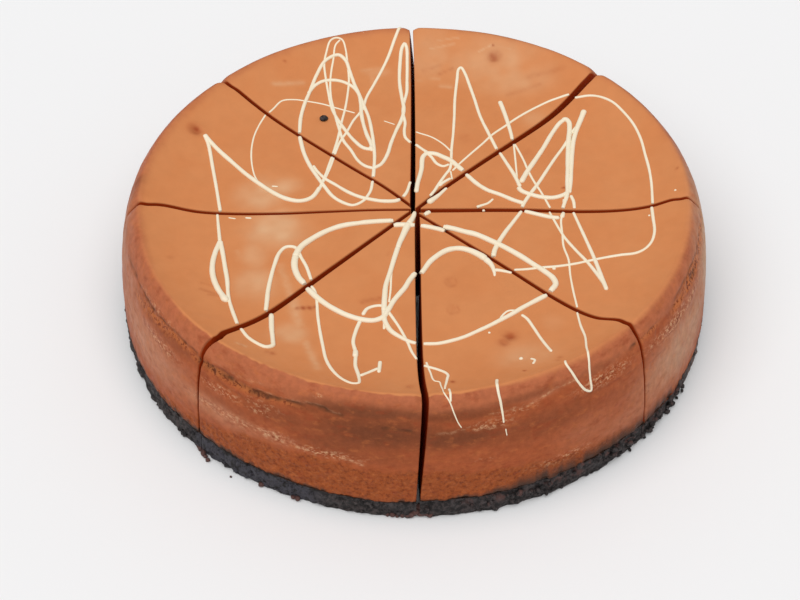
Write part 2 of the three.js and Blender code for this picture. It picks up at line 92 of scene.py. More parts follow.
# ---- Drizzle -------------------------------------------------------------------------------
# Each strand: width where it starts, width where it ends, and the points that it is poured
# through, seen from above. Past the crest, a point's distance from the axis is measured
# down the side. Most strands jump a little where a cut has moved the slices apart.
STRANDS = [
    # Left: a hook and its thin tail.
    (2.1, 2.1, [(-82.4, 42.8), (-77, 36), (-70.9, 29), (-64.8, 21.7), (-59, 15.6), (-53.3, 10.2),
                (-48.4, 7), (-43.4, 5.9), (-39.3, 7.8), (-36.1, 13.9)]),
    (1.4, 0.9, [(-36.6, 12), (-34.4, 20.5), (-32.8, 28), (-31.6, 33.6), (-29.9, 42.6), (-28.3, 54),
                (-27, 62.3), (-26, 72), (-25.6, 79), (-26, 86), (-26.7, 93)]),
    # Left: a long line with a drop-shaped loop that swings forward twice.
    (1.7, 1.4, [(-82.4, 42.8), (-80.7, 38.5), (-77.9, 23.8), (-76.2, 13.9), (-74.3, 1.5)]),
    (1.2, 1.5, [(-75.2, -1.1), (-74.6, -7.2), (-73.5, -17.1)]),
    (2.0, 2.7, [(-73.4, -16.5), (-75, -23.6), (-75.6, -30.2), (-75, -36.8), (-73, -43.3), (-70.6, -48),
                (-69, -50.8)]),
    (2.1, 1.5, [(-73.4, -16.5), (-72.1, -23.6), (-70.9, -31), (-69.7, -38.4), (-68.9, -46.6),
                (-67.6, -53.2), (-65.6, -60.5), (-65.1, -62.3)]),
    (2.4, 3.2, [(-71.8, -45.6), (-70.6, -48.2), (-69.4, -50.6)]),
    (1.6, 2.2, [(-63.1, -66.7), (-60.7, -71.2), (-57.4, -74.5), (-54.1, -76.3), (-51.8, -75),
                (-51.8, -72), (-52.5, -64.6), (-52.9, -56.4)]),
    (1.9, 1.4, [(-54.9, -53.7), (-54.7, -49.5), (-54.5, -44.1), (-53.7, -36.8), (-52.5, -29.4),
    (-50.8, -22.8),
                (-48.4, -19.9), (-45.1, -20.3), (-42.6, -26.1), (-40.6, -31), (-38.9, -37.5)]),
    (1.2, 1.6, [(-38.6, -41.5), (-37.3, -44.1), (-36.5, -49.9), (-36.1, -56.4), (-35.2, -64.6),
    (-34, -72.8),
                (-32.4, -81.9), (-29.5, -89.3), (-26.2, -94.2), (-23, -96.6), (-20.9, -96), (-20.9, -90.9),
                (-22.1, -84.3), (-22.1, -76.9), (-23, -71.2), (-22.1, -65.5), (-20.5, -60.1)]),
    (2.3, 2.2, [(-22.2, -79.5), (-22.1, -75.5)]),
    (1.4, 1.3, [(-20.5, -90.9), (-16.4, -87.6), (-13.9, -85.6)]),
    (1.6, 1.4, [(-13.3, -81.5), (-13.8, -88.4)]),
    # Back left: two tall loops.
    (1.7, 1.5, [(-45.1, 47), (-44.8, 56.6), (-43.4, 64.8), (-41.4, 72), (-38.9, 80.7), (-35.2, 88.5),
                (-29.9, 91.6), (-27, 89.3), (-25.4, 84.4), (-23.4, 77), (-21.3, 70.5), (-19.3, 63.1),
                (-17.6, 56.6), (-16.4, 48.4), (-15.6, 40.2), (-15.2, 32), (-15.4, 25.4), (-15.7, 20)]),
    (1.3, 1.9, [(-16, 17), (-16.6, 12), (-17.6, 9), (-19.6, 5.4), (-23.4, 3.1), (-27, 4.5), (-31.1, 8.2),
                (-34.4, 13.9), (-37.3, 19.7), (-40.6, 27), (-43, 34.4), (-44.8, 43.5)]),
    (1.6, 1.7, [(-42.2, 70.5), (-39.3, 75.4), (-36.1, 77.9), (-31.6, 78.7), (-27.9, 77.9), (-24.2, 75.4),
                (-21.7, 71.3), (-20.7, 64.8), (-20.5, 59), (-19.7, 52.5), (-18.4, 45.9), (-16.4, 38.5),
                (-16.4, 35.2)]),
    (2.5, 2.2, [(-16.6, 38), (-16.5, 35.6)]),
    (1.8, 1.2, [(-16.4, 36), (-19.7, 37.3), (-23, 41.4), (-25.8, 46.3), (-29.1, 53.3), (-32, 60.7),
                (-33.6, 68.9)]),
    (1.1, 0.8, [(-33.4, 67.5), (-35.2, 81), (-35.7, 87), (-34.8, 92.6), (-33.2, 97.5), (-30.7, 99),
                (-28.3, 98.4), (-26.9, 94.3), (-26.4, 89.3)]),
    # Back left: a thin line that swings into a deep V and up again beside the back cut.
    (0.8, 1.5, [(-29.1, 98.4), (-31.1, 95.9), (-32, 89.3), (-32.8, 83.6), (-33.2, 77), (-32.8, 68.9),
                (-31.5, 60.7), (-29.5, 50), (-27.5, 41.8), (-24.6, 36.1), (-21.7, 29.5), (-18.9, 26.2),
                (-15.6, 24.6)]),
    (1.7, 1.6, [(-15.8, 24.6), (-12.7, 27), (-10.2, 32.8), (-8.6, 40.2), (-6.6, 47.5), (-4.5, 54.1),
                (-3.3, 60.7), (-4.1, 68.9), (-4.9, 78.7), (-4.5, 89.3), (-3.7, 95.9), (-2.3, 98.6)]),
    (1.5, 1.4, [(-2.5, 98.5), (-1.7, 96), (-1.6, 89), (-1.8, 79), (-2, 72), (-3.3, 64.8), (-3.7, 59),
                (-2.9, 52.5), (-3.3, 47.5), (-2.9, 43.4), (-1.2, 40.6)]),
    (1.4, 1.5, [(1.2, 38.9), (4.5, 35.2), (6.5, 33.4)]),
    (1.5, 0.9, [(-4.1, 106), (-6.6, 100), (-9.4, 91.8), (-12.3, 84.4), (-15.6, 76.2), (-18.4, 68.9),
                (-20.1, 61.5), (-23.8, 54.1), (-26.2, 47.5), (-28.7, 41.8), (-30.7, 34.4), (-32.4, 26.2),
                (-34.4, 18.9), (-36, 14)]),
    (1.2, 2.0, [(-39.3, 27), (-37.3, 23), (-34.4, 18.9), (-29.9, 14.8), (-25.4, 10.7), (-20.5, 7.6),
                (-17, 6.3), (-13, 5.2), (-10, 4.9), (-7, 5.2), (-4.9, 6.4)]),
    (1.7, 1.3, [(-4.2, 7.5), (-3, 9.8), (-2.3, 12), (-2, 13.4)]),
    (0.7, 0.8, [(-58.9, 15.2), (-61.5, 20.5), (-63.1, 27.9), (-63.7, 36.1), (-63.1, 44.3), (-61.5, 50.8),
                (-59, 57.4)]),
    (0.8, 0.7, [(-56.1, 61), (-52.5, 66), (-47.5, 67), (-41.8, 66.2), (-36.1, 64.8), (-30.3, 62.3),
                (-23, 59.2)]),
    (0.5, 0.5, [(-11.5, 54.1), (-7, 51.6)]),
    # Back right: an arch from the hub.
    (2.0, 2.3, [(0.9, 10), (1.6, 15.8), (2.5, 20), (3.2, 24), (3.9, 31.2), (5.6, 33.2), (8.9, 32.8),
                (11.8, 30.8), (15, 28.3), (17.1, 25.4), (18.8, 23.2)]),
    (2.0, 2.1, [(21.2, 19.3), (24.4, 14.8), (28.5, 10.7), (33.5, 7.8), (38.4, 4.5), (42.6, 2.4)]),
    (1.9, 2.0, [(43.3, -2.3), (47.4, -3.9), (52.3, -5.6), (55.6, -6)]),
    # Back right: a tall peak from the hub.
    (3.0, 1.2, [(5.3, 3.6), (7.2, 5.6), (9.4, 8), (10.9, 10)]),
    (1.4, 1.2, [(9.8, 13.6), (11.6, 15.8), (14.6, 18.3)]),
    (1.3, 1.2, [(6.2, 8), (8, 11), (9.8, 15), (12.5, 20.4), (14.2, 23.6), (15, 27.9)]),
    (1.2, 1.5, [(14.8, 26), (15.3, 36.1), (16.1, 44.3), (16.9, 55.7), (17.5, 67.2), (18.7, 78.7),
                (19.5, 84.4), (20.5, 85.2), (22, 82), (23.6, 75.4), (25.3, 67.2), (27.3, 55.7),
                (30.2, 45.1), (33.1, 35.2)]),
    (1.5, 1.6, [(34.3, 32.8), (36.8, 26.2), (39.2, 19.7), (41.3, 12.3)]),
    (0.7, 0.7, [(14.5, 22.6), (14.9, 18.6)]),
    (1.4, 1.2, [(4.5, 35), (7.2, 31.1), (9.3, 27), (11.7, 25.4), (14.2, 26.6)]),
    (0.7, 0.8, [(2.7, 46.1), (7.6, 43.4), (12.1, 38.9), (15, 34.4)]),
    # Right: a long arc round the rim.
    (0.9, 1.2, [(15.2, 22.6), (18.3, 27), (22.8, 32.8), (27.7, 38.9), (31.8, 44.3),
                (36.8, 49.2), (40.9, 53.3), (45.8, 57.4), (50.7, 60.7), (55.6, 63.3), (60.5, 64.9),
                (63.5, 65.6)]),
    (1.2, 1.2, [(66.3, 63.3), (71.2, 63.1), (75.3, 61.5), (80.2, 57.4), (84.3, 50.8), (87.6, 43.4),
                (89.7, 35.2), (90.7, 26.2), (91.5, 18), (91.7, 9.8), (91.3, 0)]),
    (1.4, 1.2, [(90.7, -3.2), (90.7, -9.7), (90.5, -17.9), (88.8, -23.6), (86, -26.9), (82.7, -28.4),
                (76.9, -28.4), (71.2, -29), (65.5, -30.2), (58.9, -31.8), (52.3, -32.9), (47.4, -33.3),
                (40.9, -34.1), (36.6, -34.3)]),
    (1.2, 1.6, [(34.6, -35.6), (33.2, -35.1), (30.2, -34.4), (29.1, -34.4)]),
    # Right: a zigzag of thick strokes between two cuts.
    (2.1, 1.5, [(35.5, 64.8), (36.8, 59), (38, 52.5), (39.2, 44.3), (39.5, 41)]),
    (0.9, 0.8, [(40, 37), (40.2, 27.9), (40.3, 19.7), (40.4, 13.1)]),
    (1.0, 1.0, [(40.6, 37.6), (43.3, 28.7), (45, 21.3), (47, 14.8), (49.5, 8.2), (51.9, 0.8)]),
    (1.0, 1.7, [(52.1, -3.4), (53.6, -8), (56.8, -17.1), (60.5, -24.4), (64.2, -31), (67.1, -37.6),
                (69.2, -43.3), (70, -47.4)]),
    (2.3, 2.1, [(41.7, 14.8), (44.1, 20.5), (47.4, 27), (51.5, 35.2), (55.6, 44.3), (58.9, 50), (61, 52)]),
    (2.4, 1.8, [(59.8, 51.5), (61.4, 52), (62.6, 50.3), (62.6, 45.9), (61.8, 39.3), (61.2, 32.8),
                (60.5, 23.8), (59.7, 14.8), (59.3, 8.2), (57.3, 0.5)]),
    (2.0, 2.2, [(57, -3.6), (56.3, -6)]),
    (2.5, 1.6, [(69.2, 56.1), (67.9, 52.5), (65.5, 45.9), (63.8, 39.3), (62.6, 31.1), (61.8, 23),
                (61, 14.8), (60.1, 8.2)]),
    (1.4, 1.6, [(67.5, 50), (63.4, 44.3), (60.5, 37.7), (55.6, 28.7), (51.5, 20.5), (48.2, 13.9),
                (45, 8.2), (42.5, 3.3), (41.6, 1)]),
    (1.5, 2.3, [(40.3, -3.2), (37.6, -8), (34.3, -13.8), (31.8, -18.7), (29.8, -23.6), (29.2, -26.6)]),
    (2.2, 1.9, [(40.4, 12.3), (41.7, 9.8), (45, 7.8), (49.1, 6.1), (54, 5.7), (58.1, 7.4), (59.5, 8.8)]),
    (1.4, 1.3, [(60.5, 7), (61.4, 3.3), (61.5, 0.4)]),
    (1.3, 1.9, [(61.1, -3.5), (63, -11.3), (65.1, -20.3), (66.7, -27.7), (67.9, -34.3), (68.7, -39.2),
                (70, -47)]),
    # Right: one thin line that runs forward over the rim and turns back in a V.
    (1.0, 1.0, [(57.7, 5), (57.4, 0)]),
    (0.9, 0.9, [(56.9, -3.5), (56, -7.2), (56, -15.4), (56, -22), (57.3, -29.4), (57.3, -37.6),
                (57.7, -45.8), (58.3, -53)]),
    (0.9, 1.0, [(58.3, -59), (58.9, -66.3), (59.9, -73.7), (59.7, -81.9), (60, -86.4), (61.4, -91.1),
                (63.1, -95), (65.6, -99.5), (63, -99.7), (59.3, -97.9), (55.4, -94.8), (51.8, -91.1),
                (51.6, -88.7)]),
    # Front left: a broad loop that crosses three cuts.
    (2.4, 2.4, [(0.4, -9), (-3, -8.8), (-6, -8.7), (-8.7, -9.2)]),
    (2.2, 2.9, [(-9.6, -6.3), (-14.8, -6.6), (-21.3, -7.4), (-27.9, -8.9), (-33.6, -11.7), (-39.3, -16.2),
                (-43, -20.3), (-45.1, -26.1)]),
    (2.9, 2.5, [(-44.7, -24.8), (-45.1, -28), (-44.9, -31.8), (-43.4, -36.8), (-41.4, -40)]),
    (2.5, 2.3, [(-39.8, -43.3), (-36.1, -48.2), (-31.1, -53.2), (-25.4, -57.3), (-19.7, -59.7),
                (-15.6, -60.1), (-12.3, -58.5), (-10.7, -55.6), (-8.2, -49.9), (-6, -46.2),
                (-4.1, -43.1), (-2.6, -39.6), (-1, -36.7)]),
    (2.4, 3.0, [(3, -33.8), (5.4, -29.4), (8.3, -26.1), (11.6, -23.5), (15, -22.4), (17.8, -22.6),
                (21, -24), (24.2, -26.4), (26.5, -28.7)]),
    (2.9, 0.9, [(25.8, -28), (28.2, -31.6), (29.1, -35.1), (29.2, -37.6)]),
    # Front: a long line from the hub that turns into the loop on the right.
    (1.7, 3.0, [(0.1, -1.4), (-0.3, -3.5), (-1.2, -6), (-2.5, -8.4)]),
    (3.0, 2.0, [(-2.1, -7.6), (-3.3, -11), (-4.6, -15), (-5.9, -19), (-6.6, -22)]),
    (2.1, 2.2, [(-6.4, -21), (-7.8, -26.9), (-9.4, -34.3), (-11.1, -41.7), (-11.6, -48.2), (-11.9, -55.6)]),
    (2.2, 1.7, [(-11.9, -54.6), (-11.5, -60.5), (-9.4, -65.5), (-6.1, -68.7), (-2.5, -71.2), (-0.5, -72)]),
    (1.6, 2.2, [(2.7, -72.4), (7.2, -72.4), (12.1, -71.2), (17.1, -69.2), (22, -66.3), (26.1, -63.8),
                (30.2, -61), (34.3, -58.1), (38.4, -54.8), (42.5, -51.9), (46.9, -48.9)]),
    (2.5, 2.5, [(49.5, -46), (51.5, -42.5), (50.7, -39.2), (47.4, -35.1), (44.1, -31.8), (39.2, -26.9),
                (33.5, -22), (28.5, -18.3), (23.6, -15), (18.7, -13), (15, -11.4), (12.4, -10.5)]),
    (2.0, 2.3, [(12.3, -13.2), (10, -11.8), (6, -10.3), (2.4, -9.3)]),
    (0.8, 0.9, [(29.5, -62), (31, -58.6), (33.5, -56), (37.6, -56)]),
    (0.8, 0.8, [(-7.8, -27.7), (-9, -35.9), (-9.4, -44.1), (-10, -50.7)]),
    (1.2, 1.0, [(-11.7, -58), (-11.9, -64.6)]),
    # Front: small loops and curls.
    (1.6, 1.0, [(-19.7, -57.3), (-18, -54), (-14.8, -52.5), (-11.9, -52.7), (-10.7, -54.8), (-9, -58.1),
                (-7, -62.2), (-5.3, -66.3), (-3.3, -72), (-2.2, -76), (-0.4, -80.4)]),
    (0.8, 0.9, [(3, -82), (3.6, -85)]),
    (1.4, 0.8, [(3.6, -84.9), (7.1, -86.8), (9.8, -89), (10.5, -90.6), (10.2, -92.5), (9.8, -95.2),
                (9.3, -98.3), (9.1, -100.6)]),
    (0.8, 0.45, [(3.6, -85.2), (4.4, -88.7), (5.2, -92.9), (5.9, -94.1), (7.3, -94.7), (7.8, -97.5),
                 (8.4, -101.4), (8.7, -103.9), (10.8, -107.6), (12.5, -111.7), (14.2, -115.3),
                 (15.8, -117.6)]),
    (1.1, 0.8, [(10.5, -100.4), (10.8, -102.9), (11.1, -107.6)]),
    (1.4, 0.7, [(27.4, -96.2), (27.2, -100.3), (27.8, -103.6), (29.2, -107.6), (30.6, -111.7),
                (31.8, -115.3)]),
    (0.5, 0.4, [(33, -117.5), (34.4, -120.7)]),
    (1.3, 1.2, [(38, -58.1), (40, -60.5), (42.1, -65.5), (44.1, -71.2), (46.2, -76.9), (47.6, -80.6)]),
    (1.4, 0.9, [(25.8, 1.9), (28.4, 3.2), (30.6, 5.8)]),
    (1.0, 0.9, [(39.8, -83.4), (41.3, -84.6), (40.5, -87.4)]),
    (0.9, 0.8, [(-62, -3.4), (-64.6, -3.1)]),
    (0.7, 0.6, [(-68, -3.7), (-71, -3.1)]),
    (0.7, 0.6, [(-55, 15), (-52.4, 14.6)]),
    (2.3, 2.0, [(4.7, -2.4), (3.8, -3.1)]),
]
# Single drops: x, y and width.
DROPS = [(26.6, -1, 1.1), (100, 2.4, 0.9), (51.5, -34, 1.5), (36.6, -83, 1.5), (26, -67.3, 1.0),
         (89.4, -8, 0.9)]
STRAND_SPACING = 0.5
STRAND_OVERRUN = 3.5
STRAND_WIDTH_SHARE = 0.94
FREE_END_FLOOR = 0.02
CUT_END_FLOOR = 0.6
STRAND_SECTION_SIDES = 9

# ---- Marks on the top: x, y and reach, then depth or strength --------------------------------

PITS = [(34.5, 89, 3.0, 0.7), (-85.6, 44.4, 3.4, 0.9), (12.8, -40.5, 2.4, 0.45), (13.3, -55, 2.4, 0.35),
        (33.6, -69.6, 3.0, 0.6), (31, -73, 1.6, 0.3), (-3, -98, 1.6, 0.3), (37.3, -91.6, 0.8, 0.4)]
# Dark rings on the walls of the pits: painted shade.
PIT_SHADE_RINGS = [(12.8, -40.5, 2.1), (13.3, -55, 2.1), (-85.6, 44.4, 2.0), (34.2, -69.4, 2.4)]
# Dark spots: real marks, and painted shade in the pits' dimples.
MARKS_AND_PIT_SHADE = [(34.3, 89.2, 2.3, 1.0), (-86, 44.5, 2.6, 1.0), (33.4, -69.5, 2.2, 1.0), (31, -73, 1.9, 0.8),
         (13.3, -54.2, 1.8, 0.2),
         (33, -71.5, 1.3, 0.5), (-53.6, -79.3, 1.1, 0.45), (-51.6, -80, 1.2, 0.6), (-62.8, -77.4, 0.9, 0.3),
         (12.5, -39.8, 1.8, 0.2), (12, -95.2, 0.9, 0.9), (-3, -98, 1.4, 0.5), (37.3, -91.6, 0.6, 0.9),
         (50.2, -85.6, 0.9, 0.6),
         (49.2, -87.4, 0.8, 0.5), (58.3, 11.5, 0.6, 1.0), (34, 94.5, 0.5, 0.8), (-51.7, 86, 0.7, 0.5),
         (-25, -10.3, 0.5, 0.7), (101.7, 13.8, 0.6, 0.6), (-91, -29, 1.2, 0.3), (20.5, 42.7, 2.6, 0.22),
         (45, 32.7, 2.4, 0.2), (-9.8, -24.5, 1.0, 0.2)]
# Streaks: start, end, half width and strength.
MARK_STREAKS = [((-43.6, -53), (-37.5, -53), 0.7, 0.9), ((-19.6, -50.2), (-13, -48.6), 1.1, 0.45),
                ((-79, -44.8), (-73, -46.8), 0.7, 0.35), ((-76, -47.4), (-71.5, -47.6), 0.6, 0.3),
                ((-79, -41.2), (-73.5, -42), 0.6, 0.2), ((5, 84.6), (12, 87), 0.8, 0.2),
                ((11, 82), (17, 85), 0.7, 0.25), ((48, 77.5), (62, 79), 1.2, 0.2), ((39, 68.5),
                (52, 73), 1, 0.2)]
PALE_PATCHES = [(-53, -10, 11, 11, 1.1), (-59, 10, 9, 9, 1.05), (-50, 15, 6, 5, 0.85),
                (-60, -24, 5, 9, 0.65),
                (-59.5, -40, 8, 9, 0.75), (-46, -67, 6.5, 6, 0.9), (38, -81, 10, 8, 0.55),
                (49, -63, 4, 5, 0.25), (33, 87, 18, 11, 0.65), (42, 77, 15, 9, 0.6), (8, 92, 9, 12, 0.45),
                (49, 53, 5, 5, 0.35), (-14, 84, 5, 2.5, 0.5), (-9, -60, 3, 3, 0.2)]
PALE_STREAKS = [((-50.5, -30), (-45, -50), 1.5, 0.5), ((-45, -50), (-43, -62), 2.2, 0.7),
                ((-40, -72), (-35.5, -87), 1.5, 0.6),
                ((-56, 74.6), (-44.5, 76.6), 1.2, 0.55), ((-16.5, 84), (-15.5, 77), 1.1, 0.35),
                ((-20, 84.5), (-12, 86), 1.0, 0.4), ((8, 95.4), (18, 97), 0.7, 0.7), ((11, 99),
                (20, 99.5), 0.5, 0.5),
                ((2.5, 79.2), (11.5, 79.6), 0.6, 0.5), ((12, 75.5), (16, 74.6), 1.0, 0.6),
                ((28, 92.5), (33, 94.6), 0.7, 0.9), ((33, 94.6), (41, 91.5), 0.6, 0.7),
                ((-67, -22), (-65.6, -27), 0.9, 0.4), ((-64.5, -76.3), (-61, -77.6), 0.5, 0.8)]

# ---- Marks on the side: azimuth in degrees, height, their reaches and strength ---------------

DARK_PATCHES = [(-8, 42, 14, 8, 0.9), (-15, 35, 9, 5, 0.6), (-7, 31, 8, 4, 0.35), (6, 39.5, 12, 5, 0.85),
                (22, 38, 14, 6, 0.5), (-9, 49.5, 14, 3, 0.9), (6, 48.5, 12, 2.6, 0.75),
                (20, 50.5, 10, 1.6, 0.5),
                (36, 50, 6, 1.6, 0.4), (-25, 40, 9, 5, 0.5), (-21, 47, 6, 2, 0.6), (38, 36, 9, 5, 0.15),
                (-36, 35, 8, 3, 0.25), (66, 49, 12, 2, 0.2), (-56, 45, 12, 3, 0.45)]
# Painted sheen, mostly at the far left and right: pale patches that stand in for the floor's reflection on
# the side at grazing angles.
SHEEN_AND_PALE_PATCHES = [(-64, 30, 17, 11, 1), (-42, 29, 12, 5, 0.8), (-75, 40, 12, 9, 0.7), (62, 28, 18, 13, 0.9),
                 (45, 20, 12, 7, 0.5), (84, 32, 14, 16, 0.8), (-27, 30, 5, 3, 0.5), (33, 26, 7, 8, 0.3)]
FLECK_PATCHES = [(-17, 29.4, 6, 1.7, 1), (-27, 30.6, 3.5, 2.4, 0.8), (-38, 30, 9, 2.2, 0.5),
                 (-39.5, 39.8, 5, 2, 0.65), (-30.5, 38.8, 2.5, 1, 0.6), (-57, 39, 6, 2.2, 0.7),
                 (-60, 49.6, 8, 1.2, 0.5),
                 (13, 43.3, 4, 1.8, 0.6), (37, 45.4, 6, 2.6, 0.85), (58, 42.8, 6, 2.6, 1),
                 (66, 41.5, 5, 1.6, 0.7),
                 (51, 44, 4, 2, 0.5), (27, 18, 6, 1.8, 0.6), (12, 28, 2, 1, 0.5), (18, 46.5, 4, 1.2, 0.4),
                 (-30, 42, 4, 2, 0.4), (74, 42, 5, 3, 0.4), (-19, 52.4, 0.8, 0.8, 0.7),
                 (48, 26, 1.2, 2, 0.4)]
# Creases: points along each, depth, half width and darkness, the strength of the shade painted into it.
CREASES = [
    ([(-78, 47), (-71, 48.2), (-62, 48.2), (-52, 49.2), (-46, 48.2)], 0.45, 0.6, 0.75),
    ([(-64, 47.6), (-61, 47.7)], 0.5, 0.8, 1),
    ([(-44, 47.6), (-40, 47.4), (-36, 47.6)], 0.3, 0.5, 0.4),
    ([(-45, 45.8), (-43, 46.2), (-39.5, 45.7), (-36.5, 46.8), (-33, 45.6), (-29, 46)], 0.7, 1.25, 1),
    ([(-31, 46.4), (-26, 47), (-22, 48.3), (-19.5, 48.8), (-17, 48.2), (-14, 47.4)], 0.4, 0.65, 0.85),
    ([(-6.5, 44), (-4.5, 44.4), (-1.5, 43.8)], 0.4, 0.7, 0.9),
    ([(-41, 43.2), (-33, 42), (-31, 41)], 0.25, 0.5, 0.3),
    ([(60, 50), (65, 50.6), (70, 50.2), (77, 49.6)], 0.4, 0.6, 0.6),
    ([(69, 47.2), (71, 46.8)], 0.9, 1.1, 1),
    ([(79.5, 50), (81, 48.4), (83, 46.6)], 0.4, 0.7, 0.6),
    ([(44, 49.8), (45.5, 49.9)], 0.5, 0.7, 0.9),
    ([(49.5, 50), (51.5, 50)], 0.3, 0.5, 0.5),
    ([(30, 42.5), (37, 41.6), (45, 40.6), (50, 40)], 0.2, 0.5, 0.3),
]
# Torn, pitted areas: azimuth, height, their reaches and strength.
TORN_PATCHES = [(80, 48, 8, 2.4, 0.8), (69.5, 47.5, 7, 3, 1), (61.5, 47.6, 4, 2, 0.8),
                (50, 49.4, 3.5, 1.1, 0.6),
                (-66, 43.5, 5, 1.4, 0.5), (-60, 46, 6, 1.7, 0.7), (-53, 47.3, 6, 1.4, 0.7),
                (-41.5, 46, 5.5, 1.6, 1), (-34, 45.8, 6, 1.5, 0.9), (-27, 46.8, 5, 1, 0.6)]
# Painted sheen: the floor's pale, greyish reflection painted on the side at the right end and faintly at the
# far left.
GREY_SHEEN_PATCHES = [(90, 36, 17, 20, 1), (62, 28, 14, 12, 0.5), (-88, 36, 8, 16, 0.3)]
PALE_LINES = [
    ([(3, 42), (5.5, 42.1), (8, 42.9)], 0.35, 0.5),
    ([(10, 42.6), (13.5, 42.6)], 0.5, 0.6),
    ([(13, 47.3), (17, 47.2), (21, 47.5), (23.5, 48.6), (26.5, 49.8), (30.5, 50.1)], 0.4, 0.7),
    ([(-31, 47.5), (-26, 48), (-21, 49.2), (-18, 48.9), (-14.5, 48)], 0.4, 0.45),
    ([(-37, 31.5), (-30, 30.8), (-27, 31.6)], 0.6, 0.5),
    ([(-23, 29.6), (-19, 28.8), (-16, 30.6), (-12.5, 28.2), (-10, 27)], 0.5, 0.8),
    ([(-42, 49.5), (-36, 49), (-30, 50)], 0.4, 0.3),
]
BAND_TOP = [(-62, 12), (-50, 16), (-40, 21), (-30, 26), (-20, 26.5), (-8, 25.5), (0, 25), (10, 23),
            (20, 20.5),
            (30, 18), (42, 14), (50, 12)]

TOP_CRUMB = (-35.5, 55.3, 1.75)


# ---- Noise and curves --------------------------------------------------------------------------

HASH_X, HASH_Y, HASH_Z = 73856093, 19349663, 83492791
HASH_SEED, HASH_MIX = 2654435761, 1274126177
KEY_BITS, VALUE_BITS = 0xFFFFFFFF, 0xFFFF
LATTICE_SHIFT = 1000.5
# Scales of a place before its noise is taken: the same at every height, and drawn out level.
UPRIGHT = (1, 1, 0)
LEVEL = (1, 1, 5)


def value_noise(points, cell, seed):
    """Smooth noise from -1 to 1 whose features are about one cell wide."""
    scaled = np.asarray(points, float) / cell + LATTICE_SHIFT
    corner = np.floor(scaled).astype(np.int64)
    part = scaled - corner
    part = part * part * (3 - 2 * part)
    total = np.zeros(len(scaled))
    for dx in (0, 1):
        for dy in (0, 1):
            for dz in (0, 1):
                key = (corner[:, 0] + dx) * HASH_X ^ (corner[:, 1] + dy) * HASH_Y
                key = key ^ (corner[:, 2] + dz) * HASH_Z ^ (seed + 1) * HASH_SEED
                key = (key ^ (key >> 13)) * HASH_MIX & KEY_BITS
                value = ((key ^ (key >> 16)) & VALUE_BITS) / (VALUE_BITS / 2) - 1
                weight = np.where(dx, part[:, 0], 1 - part[:, 0])
                weight = weight * np.where(dy, part[:, 1], 1 - part[:, 1])
                total += value * weight * np.where(dz, part[:, 2], 1 - part[:, 2])
    return total


def layered_noise(points, *layers):
    """Sum of noises, each given as its strength, cell and seed."""
    return sum(strength * value_noise(points, cell, seed) for strength, cell, seed in layers)


def smooth(value, low, high):
    t = np.clip((np.asarray(value, float) - low) / (high - low), 0, 1)
    return t * t * (3 - 2 * t)


def between(value, rise, fall):
    """Rises from 0 to 1 over the first span and falls back over the second."""
    return smooth(value, *rise) * (1 - smooth(value, *fall))


def hump(distance, reach):
    """1 at no distance, fading away over the reach."""
    return np.exp(-(distance / reach) ** 2)


def around(radius, azimuth, height):
    """Places given by their distance from the axis, azimuth and height."""
    return np.column_stack([radius * np.sin(azimuth), -radius * np.cos(azimuth), height])


def azimuth_of(x, y):
    return np.arctan2(x, -y)


SHORTEST_STEP = 1e-6
CURVE_DENSITY = 1.1


def catmull_rom(points, spacing):
    """Points along a smooth curve through the given ones, about one spacing apart."""
    nodes = np.array(points, float)
    nodes = np.vstack([2 * nodes[0] - nodes[1], nodes, 2 * nodes[-1] - nodes[-2]])
    found = []
    for a, b, c, d in zip(nodes, nodes[1:], nodes[2:], nodes[3:]):
        steps = [max(np.linalg.norm(q - p), SHORTEST_STEP) ** 0.5 for p, q in ((a, b), (b, c), (c, d))]
        knots = np.cumsum([0] + steps)
        count = max(2, math.ceil(np.linalg.norm(c - b) * CURVE_DENSITY / spacing))
        t = np.linspace(knots[1], knots[2], count, endpoint=False)[:, None]
        low = a + (b - a) * (t - knots[0]) / (knots[1] - knots[0])
        middle = b + (c - b) * (t - knots[1]) / (knots[2] - knots[1])
        high = c + (d - c) * (t - knots[2]) / (knots[3] - knots[2])
        left = low + (middle - low) * (t - knots[0]) / (knots[2] - knots[0])
        right = middle + (high - middle) * (t - knots[1]) / (knots[3] - knots[1])
        found.append(left + (right - left) * (t - knots[1]) / (knots[2] - knots[1]))
    found.append(nodes[-2:-1])
    return np.vstack(found)


def line_distance(x, y, points):
    """Distance from each place to a line of straight pieces."""
    nearest = np.full(len(x), np.inf)
    for (ax, ay), (bx, by) in zip(points, points[1:]):
        along = ((x - ax) * (bx - ax) + (y - ay) * (by - ay)) / ((bx - ax) ** 2 + (by - ay) ** 2)
        along = np.clip(along, 0, 1)
        nearest = np.minimum(nearest, np.hypot(x - ax - along * (bx - ax), y - ay - along * (by - ay)))
    return nearest


# ---- The cake's form -------------------------------------------------------------------------

def top_height(radius):
    climb = np.maximum(0, radius - FLAT_RADIUS) / (CREST_RADIUS - FLAT_RADIUS)
    return CENTRE_HEIGHT + (RIM_HEIGHT - CENTRE_HEIGHT) * np.minimum(climb, 1) ** DISH_POWER


def side_radius(height):
    climb = np.clip((height - SIDE_FOOT_HEIGHT) / (RIM_HEIGHT - SIDE_FOOT_HEIGHT), 0, 1)
    return CREST_RADIUS + (OUTER_RADIUS - CREST_RADIUS) * np.sqrt(1 - climb ** SHOULDER_POWER)


def outline_offset(azimuth):
    return sum(size * np.sin(count * azimuth + phase) for count, size, phase in OUTLINE_WAVES)


def degrees_of(azimuth):
    degrees = np.degrees(azimuth) % 360
    return np.where(degrees > 180, degrees - 360, degrees)


EDGE_LAYERS = [(0.35, 7, 3), (0.5, 2.6, 4), (0.45, 1.1, 5)]
EDGE_ROUGHNESS, EDGE_ROUGHER = 1.25, 0.7
EDGE_ROUGHER_SPANS = (6, 20), (62, 78)


